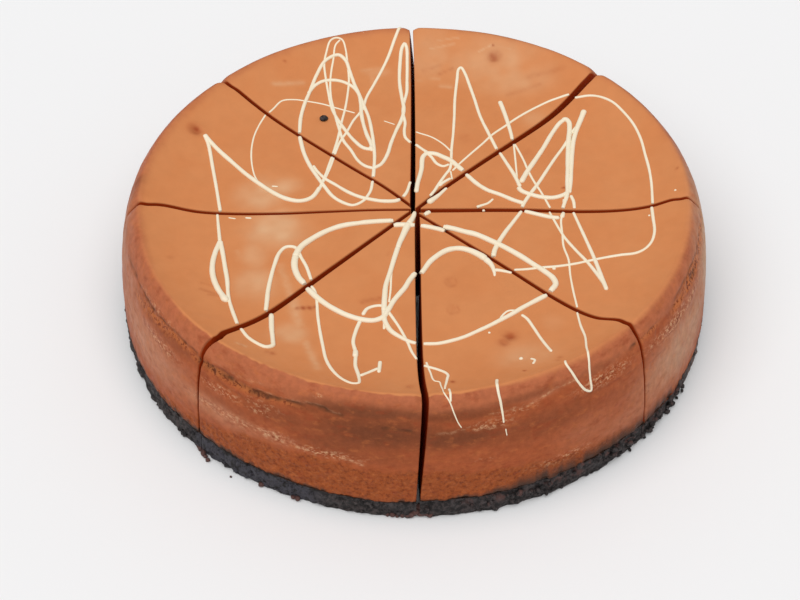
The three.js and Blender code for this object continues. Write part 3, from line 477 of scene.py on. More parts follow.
def crust_edge(azimuth):
    """Height of the ragged line between filling and crumb base at the outside."""
    ring = around(FILLING_FOOT_RADIUS, azimuth, np.zeros_like(azimuth))
    theta = degrees_of(azimuth)
    rough = EDGE_ROUGHNESS + EDGE_ROUGHER * between(theta, *EDGE_ROUGHER_SPANS)
    return np.interp(theta, *zip(*CRUST_EDGE)) + rough * layered_noise(ring, *EDGE_LAYERS)


CUT_SPACING = 1.0


class Cut:
    """One knife cut, as an azimuth for every radius, and its gap."""

    def __init__(self, path, width, lean, turn):
        line = catmull_rom(path, CUT_SPACING)
        azimuth = np.unwrap(azimuth_of(*line.T))
        azimuth += TAU * round((turn - azimuth[-1]) / TAU)
        self.radius = np.maximum.accumulate(np.hypot(*line.T))
        self.azimuth = azimuth
        self.width = width
        self.lean = lean

    def edge(self, radius, height, side):
        """Azimuth of the gap's lower (side -1) or higher (side 1) face."""
        reach = radius / OUTER_RADIUS
        opened = np.clip((height - CRUST_LEVEL) / (CUT_OPEN_HEIGHT - CRUST_LEVEL), 0, 1)
        gap = np.interp(radius, [0, CREST_RADIUS, OUTER_RADIUS], self.width)
        half = 0.5 * gap * (CUT_FOOT_SHARE + (1 - CUT_FOOT_SHARE) * opened)
        sideways = side * half + self.lean * (1 - opened) * reach
        return np.interp(radius, self.radius, self.azimuth) + sideways / radius


CUT_LINES = [Cut(*cut, i * TAU / SLICES) for i, cut in enumerate(CUTS)]
CUT_LINES.append(Cut(*CUTS[0], TAU))


def slice_faces(index, radius, height):
    """Azimuths of a slice's two cut faces."""
    return CUT_LINES[index].edge(radius, height, 1), CUT_LINES[index + 1].edge(radius, height, -1)


TIP_SEARCH = np.linspace(1.2, 12, 400)
TIP_WIDTH = 0.25


def tip_radius(index):
    """Where a slice's two cut faces meet near the hub."""
    low, high = slice_faces(index, TIP_SEARCH, CENTRE_HEIGHT)
    closed = np.nonzero((high - low) * TIP_SEARCH < TIP_WIDTH)[0]
    return TIP_SEARCH[closed[-1] + 1] if len(closed) else TIP_SEARCH[0]


PATCH_SHARPNESS = 1.5


def spots(x, y, listed):
    total = np.zeros_like(x)
    for px, py, reach, strength in listed:
        total = np.maximum(total, strength * np.exp(-((x - px) ** 2 + (y - py) ** 2) / reach ** 2))
    return total


def patches(x, y, listed):
    total = np.zeros_like(x)
    for px, py, reach_x, reach_y, strength in listed:
        away = ((x - px) / reach_x) ** 2 + ((y - py) / reach_y) ** 2
        total = np.maximum(total, strength * np.exp(-away ** PATCH_SHARPNESS))
    return total


def streaks(x, y, listed):
    total = np.zeros_like(x)
    for start, end, half, strength in listed:
        total = np.maximum(total, strength * hump(line_distance(x, y, [start, end]), half))
    return total


TOP_LAYERS = [(0.14, 34, 11), (0.06, 11, 12), (0.02, 3, 13)]
TOP_SETBACK = 0.12
PIT_STEEPNESS = 1.9
PIT_RIM_SHARE, PIT_RIM_STEEPNESS = 0.22, 3.2


def top_relief(x, y):
    """How far the top stands above its plain form."""
    relief = layered_noise(np.column_stack([x, y, np.zeros_like(x)]), *TOP_LAYERS)
    for px, py, reach, depth in PITS:
        away = np.hypot(x - px, y - py) / reach
        relief = relief - depth * np.exp(-(away * PIT_STEEPNESS) ** 2)
        relief = relief + PIT_RIM_SHARE * depth * np.exp(-((away - 1) * PIT_RIM_STEEPNESS) ** 2)
    return relief - TOP_SETBACK


# One degree round the side is about two millimetres.
MM_A_DEGREE = 2
LONG_WOBBLE, SHORT_WOBBLE = (0.5, 6, 29), (0.4, 1.9, 36)


def line_wobble(place):
    """How far lines on the side stray up and down."""
    return layered_noise(place * LEVEL, LONG_WOBBLE) + layered_noise(place, SHORT_WOBBLE)


def side_lines(theta, z, lines, wobble):
    """Combined strength of drawn lines, each given as points, half width and strength."""
    total = np.zeros_like(theta)
    for points, half, strength in lines:
        spread = [(t * MM_A_DEGREE, h) for t, h in points]
        away = line_distance(theta * MM_A_DEGREE, z + wobble, spread)
        total = np.maximum(total, strength * hump(away, half))
    return total


SEEN_DEGREES = 90
BACK_BAND_TOP, BACK_BAND_LAYER = 19, (6, 45, 33)
BAND_EDGE_LAYERS = [(1.6, 6, 31), (0.8, 2, 32)]
BAND_SOFTNESS = 1.5


def band_mask(theta, z, place):
    """The rough, grainy band above the crumb base."""
    back_top = BACK_BAND_TOP + layered_noise(place * UPRIGHT, BACK_BAND_LAYER)
    top = np.where(np.abs(theta) > SEEN_DEGREES, back_top, np.interp(theta, *zip(*BAND_TOP)))
    wavy = z + layered_noise(place, *BAND_EDGE_LAYERS)
    return 1 - smooth(wavy, top - BAND_SOFTNESS, top + BAND_SOFTNESS)


SIDE_WAVES, SIDE_LEVEL_WAVES = (0.25, 24, 21), (0.13, 14, 22)
BAND_LAYERS = [(0.2, 2.4, 24), (0.16, 1.2, 25)]
CALM_LAYER = (0.04, 2.5, 26)
BROKEN_LAYER = (0.6, 2.6, 30)
CREASE_DEPTH, CREASE_DEPTH_LIMITS = 0.55, (0.15, 1.3)
TORN_DEPTH, TORN_LAYERS = 0.5, [(0.45, 1.7, 34), (0.3, 0.9, 35)]
PORE_DEPTH, PORE_HEIGHTS = 0.3, (52, 44)
PORES, PORE_SPAN = (2.2, 27), (0.6, 0.8)
PORE_DRIFT, PORE_DRIFT_SPAN = (13, 28), (0.1, 0.5)
SIDE_SETBACK = 0.4


def side_relief(x, y, z, theta):
    """How far the side stands out from its plain form: never more than it."""
    place = np.column_stack([x, y, z])
    band = band_mask(theta, z, place)
    relief = layered_noise(place, SIDE_WAVES) + layered_noise(place * LEVEL, SIDE_LEVEL_WAVES)
    relief = relief + band * layered_noise(place, *BAND_LAYERS)
    relief = relief + (1 - band) * layered_noise(place, CALM_LAYER)
    wobble = line_wobble(place)
    broken = np.clip(CREASE_DEPTH + layered_noise(place, BROKEN_LAYER), *CREASE_DEPTH_LIMITS)
    for points, depth, half, _ in CREASES:
        relief = relief - side_lines(theta, z, [(points, half, depth)], wobble) * broken
    torn = patches(theta, z, TORN_PATCHES)
    relief = relief - torn * (TORN_DEPTH + layered_noise(place, *TORN_LAYERS))
    pores = smooth(value_noise(place, *PORES), *PORE_SPAN)
    pores = pores * smooth(value_noise(place, *PORE_DRIFT), *PORE_DRIFT_SPAN)
    return relief - PORE_DEPTH * pores * smooth(z, *PORE_HEIGHTS) - SIDE_SETBACK


SHOULDER_SPAN = (CREST_RADIUS - 1, CREST_RADIUS + 3)


def skin_relief(x, y, z, r, theta):
    """The top's relief inside the crest, the side's beyond it."""
    on_side = smooth(r, *SHOULDER_SPAN)
    return top_relief(x, y) * (1 - on_side) + side_relief(x, y, z, theta) * on_side


# ---- Meshes ------------------------------------------------------------------------------------

FILLING_SHARP, CRUMB_SHARP, DRIZZLE_SHARP = (math.radians(angle) for angle in (50, 75, 70))


def make_object(name, vertices, faces, material, sharp_angle):
    mesh = bpy.data.meshes.new(name)
    mesh.from_pydata((np.asarray(vertices) * MM).tolist(), [], faces)
    mesh.validate()
    mesh.polygons.foreach_set("use_smooth", [True] * len(mesh.polygons))
    mesh.set_sharp_from_angle(angle=sharp_angle)
    mesh.materials.append(material)
    piece = bpy.data.objects.new(name, mesh)
    bpy.context.scene.collection.objects.link(piece)
    return piece


def add_mask(piece, name, values):
    attribute = piece.data.attributes.new(name, "FLOAT", "POINT")
    attribute.data.foreach_set("value", np.asarray(values, np.float32))


def run_of(points):
    """Distance along a line of points."""
    return np.concatenate([[0], np.cumsum(np.linalg.norm(np.diff(points, axis=0), axis=1))])


def polyline(points, shares):
    """Points at the given shares of a polyline's length."""
    points = np.array(points, float)
    run = run_of(points)
    wanted = np.asarray(shares) * run[-1]
    return np.column_stack([np.interp(wanted, run, points[:, 0]), np.interp(wanted, run, points[:, 1])])


LIPS = np.array([0, 0.1, 0.22, 0.38, 0.6, 0.9, 1.3, 1.9])
FACE_TOP = 0.92
FACE_EDGE_ROWS = [0.97, 0.99]
NARROWEST_SKIN = 0.05


def skin_shares(width, middle):
    """Shares across a slice's skin: close together at both edges, even between."""
    lips = LIPS * min(1, width / (4 * LIPS[-1])) / width
    inside = np.linspace(lips[-1], 1 - lips[-1], middle + 2)[1:-1]
    return np.concatenate([lips, inside, (1 - lips)[::-1]])


def wedge_grid(index, outer, inner, face_rows, middle, under_columns):
    """A closed tube of rows from the hub to the foot. Each row runs up one cut face,
    across the skin, down the other cut face and back underneath."""
    rise = np.concatenate([np.linspace(0, FACE_TOP, face_rows - len(FACE_EDGE_ROWS)), FACE_EDGE_ROWS])
    under = np.linspace(1, 0, under_columns + 1)[1:-1]
    skin = middle + 2 * len(LIPS)
    lift = np.concatenate([rise, np.ones(skin), rise[::-1], np.zeros(len(under))])
    r = inner[:, :1] + (outer[:, :1] - inner[:, :1]) * lift
    z = inner[:, 1:] + (outer[:, 1:] - inner[:, 1:]) * lift
    low, high = slice_faces(index, r, z)
    high = np.maximum(high, low)
    share = np.zeros_like(r)
    share[:, face_rows + skin:face_rows * 2 + skin] = 1
    share[:, face_rows * 2 + skin:] = under
    for row in range(len(outer)):
        width = max((high - low)[row, face_rows] * r[row, face_rows], NARROWEST_SKIN)
        share[row, face_rows:face_rows + skin] = skin_shares(width, middle)
    return r, z, low + (high - low) * share, lift, lift == 1


def grid_faces(rows, columns):
    faces = []
    for i in range(rows - 1):
        for c in range(columns):
            d = (c + 1) % columns
            faces.append((i * columns + c, i * columns + d, (i + 1) * columns + d, (i + 1) * columns + c))
    first = tuple(range(columns))
    last = tuple((rows - 1) * columns + c for c in reversed(range(columns)))
    return faces + [first[::-1], last[::-1]]


# ---- Filling -------------------------------------------------------------------------------------

TOP_ROWS_TO, TOP_ROWS, RIM_ROWS, SIDE_ROWS = 86, 60, 25, 92


def filling_profile(tip):
    """Radius and height along a slice's skin, from its tip over the crest to its foot."""
    inside, rim = np.linspace(tip, TOP_ROWS_TO, TOP_ROWS), np.linspace(TOP_ROWS_TO, CREST_RADIUS, RIM_ROWS)
    top_radius = np.concatenate([inside, rim[1:]])
    top = np.column_stack([top_radius, top_height(top_radius)])
    turn = np.linspace(math.pi / 2, 0, SIDE_ROWS)[1:]
    side_height = SIDE_FOOT_HEIGHT + (RIM_HEIGHT - SIDE_FOOT_HEIGHT) * np.sin(turn)
    side = np.column_stack([side_radius(side_height), side_height])
    side[-1, 0] = FILLING_FOOT_RADIUS
    return np.vstack([top, side])


LIP_RADIUS = 0.5
CORNER_DROP, CORNER_REACH = 0.9, 1.5
CORNER_SPANS = (98, 104.5), (107, 110)


def edge_drop(index, r, z, azimuth):
    """How far a slice's edge falls away near its cuts, most of all at the crest."""
    low, high = slice_faces(index, r, z)
    away = np.maximum(np.minimum(azimuth - low, high - azimuth) * r, 0)
    near = np.clip(1 - away / LIP_RADIUS, 0, 1)
    lip = LIP_RADIUS * (1 - np.sqrt(1 - near ** 2))
    return lip + CORNER_DROP * hump(away, CORNER_REACH) * between(r, *CORNER_SPANS)


# Rows on a cut face, columns across the skin and columns underneath.
FILLING_GRID = (12, 128, 8)
FILLING_FADE = 0.8
THIN_FOOT = 3
FOOT_HEIGHTS = (SIDE_FOOT_HEIGHT, SIDE_FOOT_HEIGHT + 9)
FOOT_RADII = (CRUST_FLAT_RADIUS, 112)


def make_filling(index, material):
    outer = filling_profile(tip_radius(index))
    run = run_of(outer)
    underside = CRUST_LEVEL + LAYER_GAP / 2
    below = [(outer[0, 0], underside), (CRUST_FLAT_RADIUS, underside), tuple(outer[-1])]
    inner = polyline(below, run / run[-1])
    radius, height, azimuth, lift, is_skin = wedge_grid(index, outer, inner, *FILLING_GRID)
    rows, columns = radius.shape
    normal = np.gradient(outer, axis=0)
    normal /= np.linalg.norm(normal, axis=1, keepdims=True)
    normal_z, normal_r = np.repeat(np.abs(normal), columns, axis=0).T
    depth = np.minimum(1, np.hypot(*(outer - inner).T) / THIN_FOOT)
    r, z, a = radius.ravel(), height.ravel(), azimuth.ravel()
    skin = np.tile(is_skin.astype(float), rows)
    weight = np.tile(smooth(lift, FILLING_FADE, 1), rows) * np.repeat(depth, columns)
    weight = np.where(skin > 0, 1, weight)
    foot = crust_edge(a) + LAYER_GAP / 2 - SIDE_FOOT_HEIGHT
    z = z + foot * (1 - smooth(z, *FOOT_HEIGHTS)) * smooth(r, *FOOT_RADII)
    x, y, theta = r * np.sin(a), -r * np.cos(a), degrees_of(a)
    relief = (skin_relief(x, y, z, r, theta) - edge_drop(index, r, z, a)) * weight
    r = r + relief * normal_r + outline_offset(a) * r / OUTER_RADIUS
    vertices = around(r, a, z + relief * normal_z)
    faces = grid_faces(rows, columns)
    piece = make_object(f"cake_filling_{index + 1}", vertices, faces, material, FILLING_SHARP)
    place = np.column_stack([x, y, height.ravel()])
    add_top_masks(piece, place, radius.ravel(), theta, skin)
    add_side_masks(piece, place, theta)
    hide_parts(f"filling_{index + 1}")
    return piece


FINE_NOISE = (1.6, 43)
# The ragged line at the crest where the top's colour ends, and how soft it is.
CREST_OFFSET, CREST_WAVES, CREST_RAGGED = 0.9, (0.8, 9, 41), (0.35, 2.2, 42)
CREST_SOFTNESS, CREST_SOFTNESS_SKEW = 0.35, 0.3
RIGHT_SOFTNESS, RIGHT_SPANS = 2.4, ((5, 30), (170, 180))
LEFT_SOFTNESS, LEFT_SPAN, LEFT_SETBACK = 2.2, (-75, -48), 1.2
FRONT_SPANS, FRONT_SETBACK, FRONT_JAGGED = ((-50, -42), (0, 10)), 0.45, (0.3, 1.4, 49)


def crest_line(place, theta):
    """Radius of the line, and its softness."""
    far_left = 1 - smooth(theta, *LEFT_SPAN)
    softness = CREST_SOFTNESS + RIGHT_SOFTNESS * between(theta, *RIGHT_SPANS) + LEFT_SOFTNESS * far_left
    jagged = FRONT_SETBACK - layered_noise(place, FRONT_JAGGED)
    crest = CREST_RADIUS + CREST_OFFSET + layered_noise(place * UPRIGHT, CREST_WAVES)
    crest = crest + layered_noise(place, CREST_RAGGED) - LEFT_SETBACK * far_left
    return crest - between(theta, *FRONT_SPANS) * jagged, softness


# Strength and width of the painted shade rings round the pits.
RING_STRENGTH, RING_WIDTH = 0.2, 0.6
MARK_BASE, MARK_GRAIN = 0.75, 0.4
PALE_BASE, PALE_SCALE, PALE_CLOUDS, PALE_MOTTLE = 0.7, (1.6, 0.8, 1), (0.3, 12, 51), (0.3, 4, 52)
PALE_STREAK_BASE, PALE_STREAK_GRAIN = 0.8, 0.3
# Painted shade on the filling's underside and the foot of its cut faces: how high above the crumb base and
# how far in.
GAP_SHADE_HEIGHT, GAP_SHADE_REACH = 2, 4
# Crumb dust on the filling's foot: how high it reaches and how dense it is.
DUST_BASE, DUST_RIGHT, DUST_SPANS = 0.3, 1.7, ((8, 24), (50, 64))
DUST_GRAIN, DUST_DENSITY, DUST_GRAIN_SPAN = (0.7, 0.9, 48), 0.8, (-0.5, 0.4)
DUST_FROM, DUST_TO, DUST_REACH = 0.2, 1.4, 3.6
# Pale flakes along the crest at the front.
FLAKY_SLOPE, FLAKY_WIDTH, FLAKY_GRAIN_SPAN, FLAKY_STRENGTH = 0.8, 0.35, (0.2, 0.6), 0.2
FLAKY_SPANS = (-45, -38), (-2, 2)
LINE_BASE, LINE_GRAIN = 0.7, 0.5


def add_top_masks(piece, place, r, theta, skin):
    """Masks of the top, the crest, the cut faces and the foot, with painted shade in the pits and under the
    filling's foot.
    """
    x, y, z = place.T
    fine = value_noise(place, *FINE_NOISE)
    crest, softness = crest_line(place, theta)
    over = r + (RIM_HEIGHT - z) * (r > CREST_RADIUS)
    side = smooth(over, crest - softness, crest + softness + CREST_SOFTNESS_SKEW)
    add_mask(piece, "side", side * skin)
    edge = crust_edge(np.radians(theta))
    # Painted shade in the gap above the crumb base, on the filling's underside and the foot of its cut
    # faces.
    under = (1 - skin) * (z < edge + GAP_SHADE_HEIGHT) * (r > CRUST_FLAT_RADIUS - GAP_SHADE_REACH)
    add_mask(piece, "face", (1 - skin) * (1 - under))
    on_top = r < SHOULDER_SPAN[1]
    # Dark marks, with painted shade in and round the pits.
    mark_and_pit_shade = np.maximum(spots(x, y, MARKS_AND_PIT_SHADE), streaks(x, y, MARK_STREAKS)) * on_top
    for px, py, reach in PIT_SHADE_RINGS:
        mark_and_pit_shade = np.maximum(mark_and_pit_shade, RING_STRENGTH * hump(np.hypot(x - px, y - py) - reach, RING_WIDTH))
    add_mask(piece, "mark_and_pit_shade", mark_and_pit_shade * (MARK_BASE + MARK_GRAIN * fine))
    patchy = PALE_BASE + layered_noise(place * PALE_SCALE, PALE_CLOUDS) + layered_noise(place, PALE_MOTTLE)
    streaky = PALE_STREAK_BASE + PALE_STREAK_GRAIN * fine
    pale = np.maximum(patches(x, y, PALE_PATCHES) * patchy, streaks(x, y, PALE_STREAKS) * streaky)
    add_mask(piece, "pale", np.clip(pale * on_top, 0, 1))
    dusty = DUST_RIGHT * between(theta, *DUST_SPANS) + DUST_BASE
    grains = fine + layered_noise(place, DUST_GRAIN) + DUST_DENSITY * dusty
    dust = (1 - smooth(z - edge, DUST_FROM, DUST_TO + DUST_REACH * dusty)) * smooth(grains, *DUST_GRAIN_SPAN)
    # The dust mask holds real crumb dust on the skin and the painted shade under the foot.
    add_mask(piece, "dust", np.maximum(dust * (r > CRUST_FLAT_RADIUS) * skin, under))
    flaky = np.exp(-((r + (RIM_HEIGHT - z) * FLAKY_SLOPE - crest) / FLAKY_WIDTH) ** 2)
    flaky = flaky * smooth(fine, *FLAKY_GRAIN_SPAN) * FLAKY_STRENGTH * between(theta, *FLAKY_SPANS)
    lines = side_lines(theta, z, PALE_LINES, line_wobble(place)) * (LINE_BASE + LINE_GRAIN * fine)
    add_mask(piece, "line", np.clip(np.maximum(lines, flaky), 0, 1))


# The back's own broad areas, flecks and crease; the crease's dark line is painted shade.
BACK_SPAN = (88, 100)
BACK_SCALE, BACK_AREAS = (1, 1, 2.2), (16, 44)
BACK_DARK_SPAN, BACK_DARK = (0.0, 0.6), 0.7
BACK_LIGHT_SPAN, BACK_LIGHT, BACK_LIGHT_HEIGHTS = (0.1, 0.6), 0.8, (36, 46)
DRIFT_SCALE, DRIFT = (1, 1, 3), (18, 45)
BACK_FLECK, BACK_FLECK_SPAN = 0.45, (0.35, 0.7)
BACK_CREASE, BACK_CREASE_HEIGHT, BACK_CREASE_WIDTH = 0.7, 47.5, 0.5
BACK_CREASE_WAVES, BACK_CREASE_SPAN = (1.5, 25, 46), (-0.1, 0.3)
CREASE_DARKNESS, CREASE_DARKNESS_LIMITS = 0.75, (0, 1.2)
SHOULDER_WAVES, SHOULDER_HEIGHTS = (1.2, 12, 47), (47.5, 50.5)


def add_side_masks(piece, place, theta):
    """Masks of the side's areas and flecks, the painted sheen at its far ends and the painted shade in its
    creases.
    """
    z = place[:, 2]
    hidden = smooth(np.abs(theta), *BACK_SPAN)
    areas = value_noise(place * BACK_SCALE, *BACK_AREAS)
    dark = patches(theta, z, DARK_PATCHES) + hidden * smooth(areas, *BACK_DARK_SPAN) * BACK_DARK
    add_mask(piece, "dark", np.clip(dark, 0, 1))
    # The "light" mask is painted sheen at the far left and right, plus the back's paler areas.
    back_light = smooth(-areas, *BACK_LIGHT_SPAN) * (1 - smooth(z, *BACK_LIGHT_HEIGHTS)) * BACK_LIGHT
    add_mask(piece, "light", np.clip(patches(theta, z, SHEEN_AND_PALE_PATCHES) + hidden * back_light, 0, 1))
    add_mask(piece, "band", band_mask(theta, z, place))
    add_mask(piece, "torn", patches(theta, z, TORN_PATCHES))
    # Painted sheen: greyish pale patches at the side's far ends.
    add_mask(piece, "grey_sheen", patches(theta, z, GREY_SHEEN_PATCHES))
    drift = value_noise(place * DRIFT_SCALE, *DRIFT)
    back_fleck = hidden * BACK_FLECK * smooth(drift, *BACK_FLECK_SPAN)
    fleck = np.maximum(patches(theta, z, FLECK_PATCHES), back_fleck)
    add_mask(piece, "fleck", np.clip(fleck, 0, 1) * (z < RIM_HEIGHT - 1))
    wobble = line_wobble(place)
    creases = [(points, half, darkness) for points, _, half, darkness in CREASES]
    broken = np.clip(CREASE_DARKNESS + layered_noise(place, BROKEN_LAYER), *CREASE_DARKNESS_LIMITS)
    height = z - BACK_CREASE_HEIGHT - layered_noise(place * UPRIGHT, BACK_CREASE_WAVES) + wobble
    back_crease = hump(height, BACK_CREASE_WIDTH) * hidden * smooth(drift, *BACK_CREASE_SPAN) * BACK_CREASE
    # Painted shade along the creases.
    crease_shade = np.maximum(side_lines(theta, z, creases, wobble) * broken, back_crease)
    add_mask(piece, "crease_shade", np.clip(crease_shade, 0, 1))
    wavy = z + layered_noise(place * DRIFT_SCALE, SHOULDER_WAVES)
    add_mask(piece, "shoulder", smooth(wavy, *SHOULDER_HEIGHTS))


# ---- Crumb base ----------------------------------------------------------------------------------

WALL_RADIUS = OUTER_RADIUS - 0.3
LIP_EDGE_RADIUS = OUTER_RADIUS - 0.9
FLAT_ROWS, WALL_ROWS = 8, 16


def crust_profile(tip):
    """Radius and height along a crumb base's skin, from its tip to its foot."""
    top = CRUST_LEVEL - LAYER_GAP / 2
    flat_radius = np.linspace(tip, CRUST_FLAT_RADIUS, FLAT_ROWS)
    lip_radius = np.linspace(CRUST_FLAT_RADIUS, LIP_EDGE_RADIUS, FLAT_ROWS)[1:]
    wall_height = np.linspace(top, CRUST_FOOT_HEIGHT, WALL_ROWS)[1:]
    turn = np.linspace(math.pi / 2, 0, WALL_ROWS)[1:]
    foot_radius = CRUST_FOOT_RADIUS + (WALL_RADIUS - CRUST_FOOT_RADIUS) * np.sin(turn)
    parts = [(flat_radius, np.full(len(flat_radius), top)), (lip_radius, np.full(len(lip_radius), top)),
             (np.full(len(wall_height), WALL_RADIUS), wall_height),
             (foot_radius, CRUST_FOOT_HEIGHT * (1 - np.cos(turn)))]
    return np.vstack([np.column_stack(part) for part in parts])


def ball():
    """A small round lump's corners and faces."""
    shape = bmesh.new()
    bmesh.ops.create_icosphere(shape, subdivisions=2, radius=1)
    corners = np.array([tuple(v.co) for v in shape.verts])
    faces = np.array([[v.index for v in f.verts] for f in shape.faces])
    shape.free()
    return corners, faces


BALL_CORNERS, BALL_FACES = ball()
LUMP_STRETCH = (0.7, 1.25)
LUMP_ROUGHNESS, LUMP_STEP = (0.28, 0.7, 81), 3.1


def crumbs(centres, sizes, draw):
    """Uneven lumps at the given centres."""
    corners, faces = [], []
    for number, (centre, size) in enumerate(zip(centres, sizes)):
        stretch = size * draw.uniform(*LUMP_STRETCH, 3)
        rough = 1 + layered_noise(BALL_CORNERS + number * LUMP_STEP, LUMP_ROUGHNESS)
        corners.append(np.asarray(centre) + BALL_CORNERS * stretch * rough[:, None])
        faces.append(BALL_FACES + number * len(BALL_CORNERS))
    return np.vstack(corners), np.vstack(faces)


# Crumbs that have gathered at the foot: azimuth, radius, height and size.
FOOT_CRUMBS = [
    (-46.3, 112.6, 0.9, 1.2), (-45.4, 113.4, 1.0, 1.5), (-44.3, 114.0, 1.1, 1.5), (-43.4, 114.8, 0.9, 1.1),
    (-42.5, 115.4, 0.8, 0.9), (-45.0, 112.6, 3.0, 1.2), (-36.6, 116.0, 0.4, 0.5), (-30.6, 113.4, 1.2, 1.3),
    (-23.8, 113.6, 1.0, 1.2), (-22.9, 113.7, 1.2, 1.3), (-5.9, 113.2, 0.8, 1.0), (-5.0, 113.4, 1.1, 1.3),
    (-4.1, 113.5, 0.9, 1.1), (-3.2, 113.3, 1.2, 1.3), (-2.3, 113.4, 1.0, 1.2), (-1.5, 113.2, 1.4, 1.4),
    (-0.7, 112.8, 2.4, 1.6), (0.2, 113.0, 1.4, 1.6), (1.1, 112.9, 1.9, 1.5), (1.9, 113.2, 1.1, 1.4),
    (0.1, 112.0, 4.2, 1.5), (-0.9, 112.2, 4.6, 1.2), (1.2, 112.2, 3.8, 1.2),
]
FOOT_CRUMB_SIZE = 0.85
CRUST_BOX = ((-114.5, -115.0, 0), (114.1, 113.8, CRUST_LEVEL + 6))
CRUMBS_PER_SLICE = 90
CRUMB_HEIGHTS, CRUMB_DEPTH, CRUMB_DEPTHS = (0.6, 10.2), 1.1, (0, 0.7)
LARGE_CRUMBS, SMALL_CRUMBS, SMALL_CRUMBS_FROM = (0.55, 1.3), (0.4, 0.8), 8
CRUMB_BELOW_EDGE, CRUMB_ABOVE_FLOOR = 0.2, 0.8
# More crumbs stand out on the two slices to the right of the front cut.
ROUGH_CRUMBS = 34
ROUGH_FROM_TO = [(12, 44), (47, 63)]
ROUGH_HEIGHTS, ROUGH_DEPTHS, ROUGH_SIZES = (0.5, 9.6), (0.0, 0.9), (0.6, 1.2)
# The right end is worn smooth and dusty.
WORN_SPANS = (62, 69), (84, 104)
WORN_DEPTH, WORN_CALM = 0.4, 0.45


def worn(theta):
    return between(theta, *WORN_SPANS)


CRUST_GRID = (5, 150, 8)
CRUST_FADE = 0.6
CRUST_SETBACK = 0.8
CRUST_LAYERS = [(0.65, 3.4, 61), (0.6, 1.8, 62), (0.25, 0.9, 63)]
LUMPS_RADII = (107.5, 110)
EDGE_FROM_HEIGHT = 3
EDGE_RADII = (CRUST_FLAT_RADIUS + 1, OUTER_RADIUS - 1.5)
FOOT_LUMPS, FOOT_LUMPS_TO = 0.7, 1.2


def make_crust(index, material):
    outer = crust_profile(tip_radius(index))
    run = run_of(outer)
    inner = polyline([(outer[0, 0], 0), (CRUST_INNER_FOOT, 0)], run / run[-1])
    radius, height, azimuth, lift, _ = wedge_grid(index, outer, inner, *CRUST_GRID)
    rows, columns = radius.shape
    r, z, a = radius.ravel(), height.ravel(), azimuth.ravel()
    place = around(r, a, z)
    weight = np.tile(smooth(lift, CRUST_FADE, 1), rows)
    top = CRUST_LEVEL - LAYER_GAP / 2
    raised = smooth(z, EDGE_FROM_HEIGHT, top) * smooth(r, *EDGE_RADII)
    z = z + (crust_edge(a) - LAYER_GAP / 2 - top) * raised
    lumps = layered_noise(place, *CRUST_LAYERS) - CRUST_SETBACK
    lumps = lumps * (1 - WORN_CALM * worn(degrees_of(a)))
    lower = FOOT_LUMPS + (1 - FOOT_LUMPS) * smooth(z, 0, FOOT_LUMPS_TO)
    r = r + lumps * smooth(r, *LUMPS_RADII) * lower * weight + outline_offset(a) * r / OUTER_RADIUS
    vertices = around(r, a, np.maximum(z, 0))
    faces = grid_faces(rows, columns)
    corners, more, is_loose = crust_crumbs(index)
    faces += (more + len(vertices)).tolist()
    loose = np.concatenate([np.zeros(len(vertices)), is_loose])
    vertices = np.clip(np.vstack([vertices, corners]), *CRUST_BOX)
    piece = make_object(f"cake_crust_{index + 1}", vertices, faces, material, CRUMB_SHARP)
    add_crust_masks(piece, vertices, loose)
    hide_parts(f"crust_{index + 1}")
    return piece


LEDGE_SPANS = (-50, -44), (-22, -16)
LEDGE_LAYER, LEDGE_HEIGHTS = (0.4, 2.0, 64), (1.0, 1.6)
INNER_RADII = (110, 112)
WORN_SCALE, WORN_STREAKS, WORN_BASE = (1, 1, 0.4), (0.9, 1.6, 67), 0.4
WARM_SPANS, WARM_DEPTHS = ((3, 14), (60, 75)), (2, 7)
WARM_LAYERS, WARM_SPAN = [(1, 1.8, 65), (0.5, 0.8, 66)], (0.05, 0.6)


def add_crust_masks(piece, vertices, loose):
    x, y, z = vertices.T
    azimuth = azimuth_of(x, y)
    theta = degrees_of(azimuth)
    below = crust_edge(azimuth) - z
    fixed = 1 - loose
    ledge = between(theta, *LEDGE_SPANS)
    edge_line = 1 - smooth(below + layered_noise(vertices, LEDGE_LAYER), *LEDGE_HEIGHTS)
    add_mask(piece, "ledge", ledge * edge_line * fixed)
    add_mask(piece, "inner", (1 - smooth(np.hypot(x, y), *INNER_RADII)) * fixed)
    add_mask(piece, "cool", ledge * (1 - edge_line) * fixed)
    streaky = np.clip(WORN_BASE + layered_noise(vertices * WORN_SCALE, WORN_STREAKS), 0, 1)
    add_mask(piece, "worn", worn(theta) * streaky * fixed)
    dust = between(theta, *WARM_SPANS) * smooth(layered_noise(vertices, *WARM_LAYERS), *WARM_SPAN)
    add_mask(piece, "warm", np.maximum(dust * (1 - smooth(below, *WARM_DEPTHS)), loose))


def wall_crumb(index, draw):
    """Place and size of one lump that stands out of the crumb base's wall."""
    z = draw.uniform(*CRUMB_HEIGHTS)
    r = OUTER_RADIUS - CRUMB_DEPTH - draw.uniform(*CRUMB_DEPTHS)
    if z < CRUST_FOOT_HEIGHT:
        r -= (OUTER_RADIUS - CRUST_FOOT_RADIUS) * (1 - math.sqrt(1 - (1 - z / CRUST_FOOT_HEIGHT) ** 2))
    size = draw.uniform(*(LARGE_CRUMBS if z < SMALL_CRUMBS_FROM else SMALL_CRUMBS))
    low, high = slice_faces(index, r, z)
    a = draw.uniform(low + size / r, high - size / r)
    z = min(z, float(crust_edge(np.array([a]))[0]) - CRUMB_BELOW_EDGE)
    r += outline_offset(a) - WORN_DEPTH * float(worn(degrees_of(a)))
    return (r * math.sin(a), -r * math.cos(a), max(z, size * CRUMB_ABOVE_FLOOR)), size


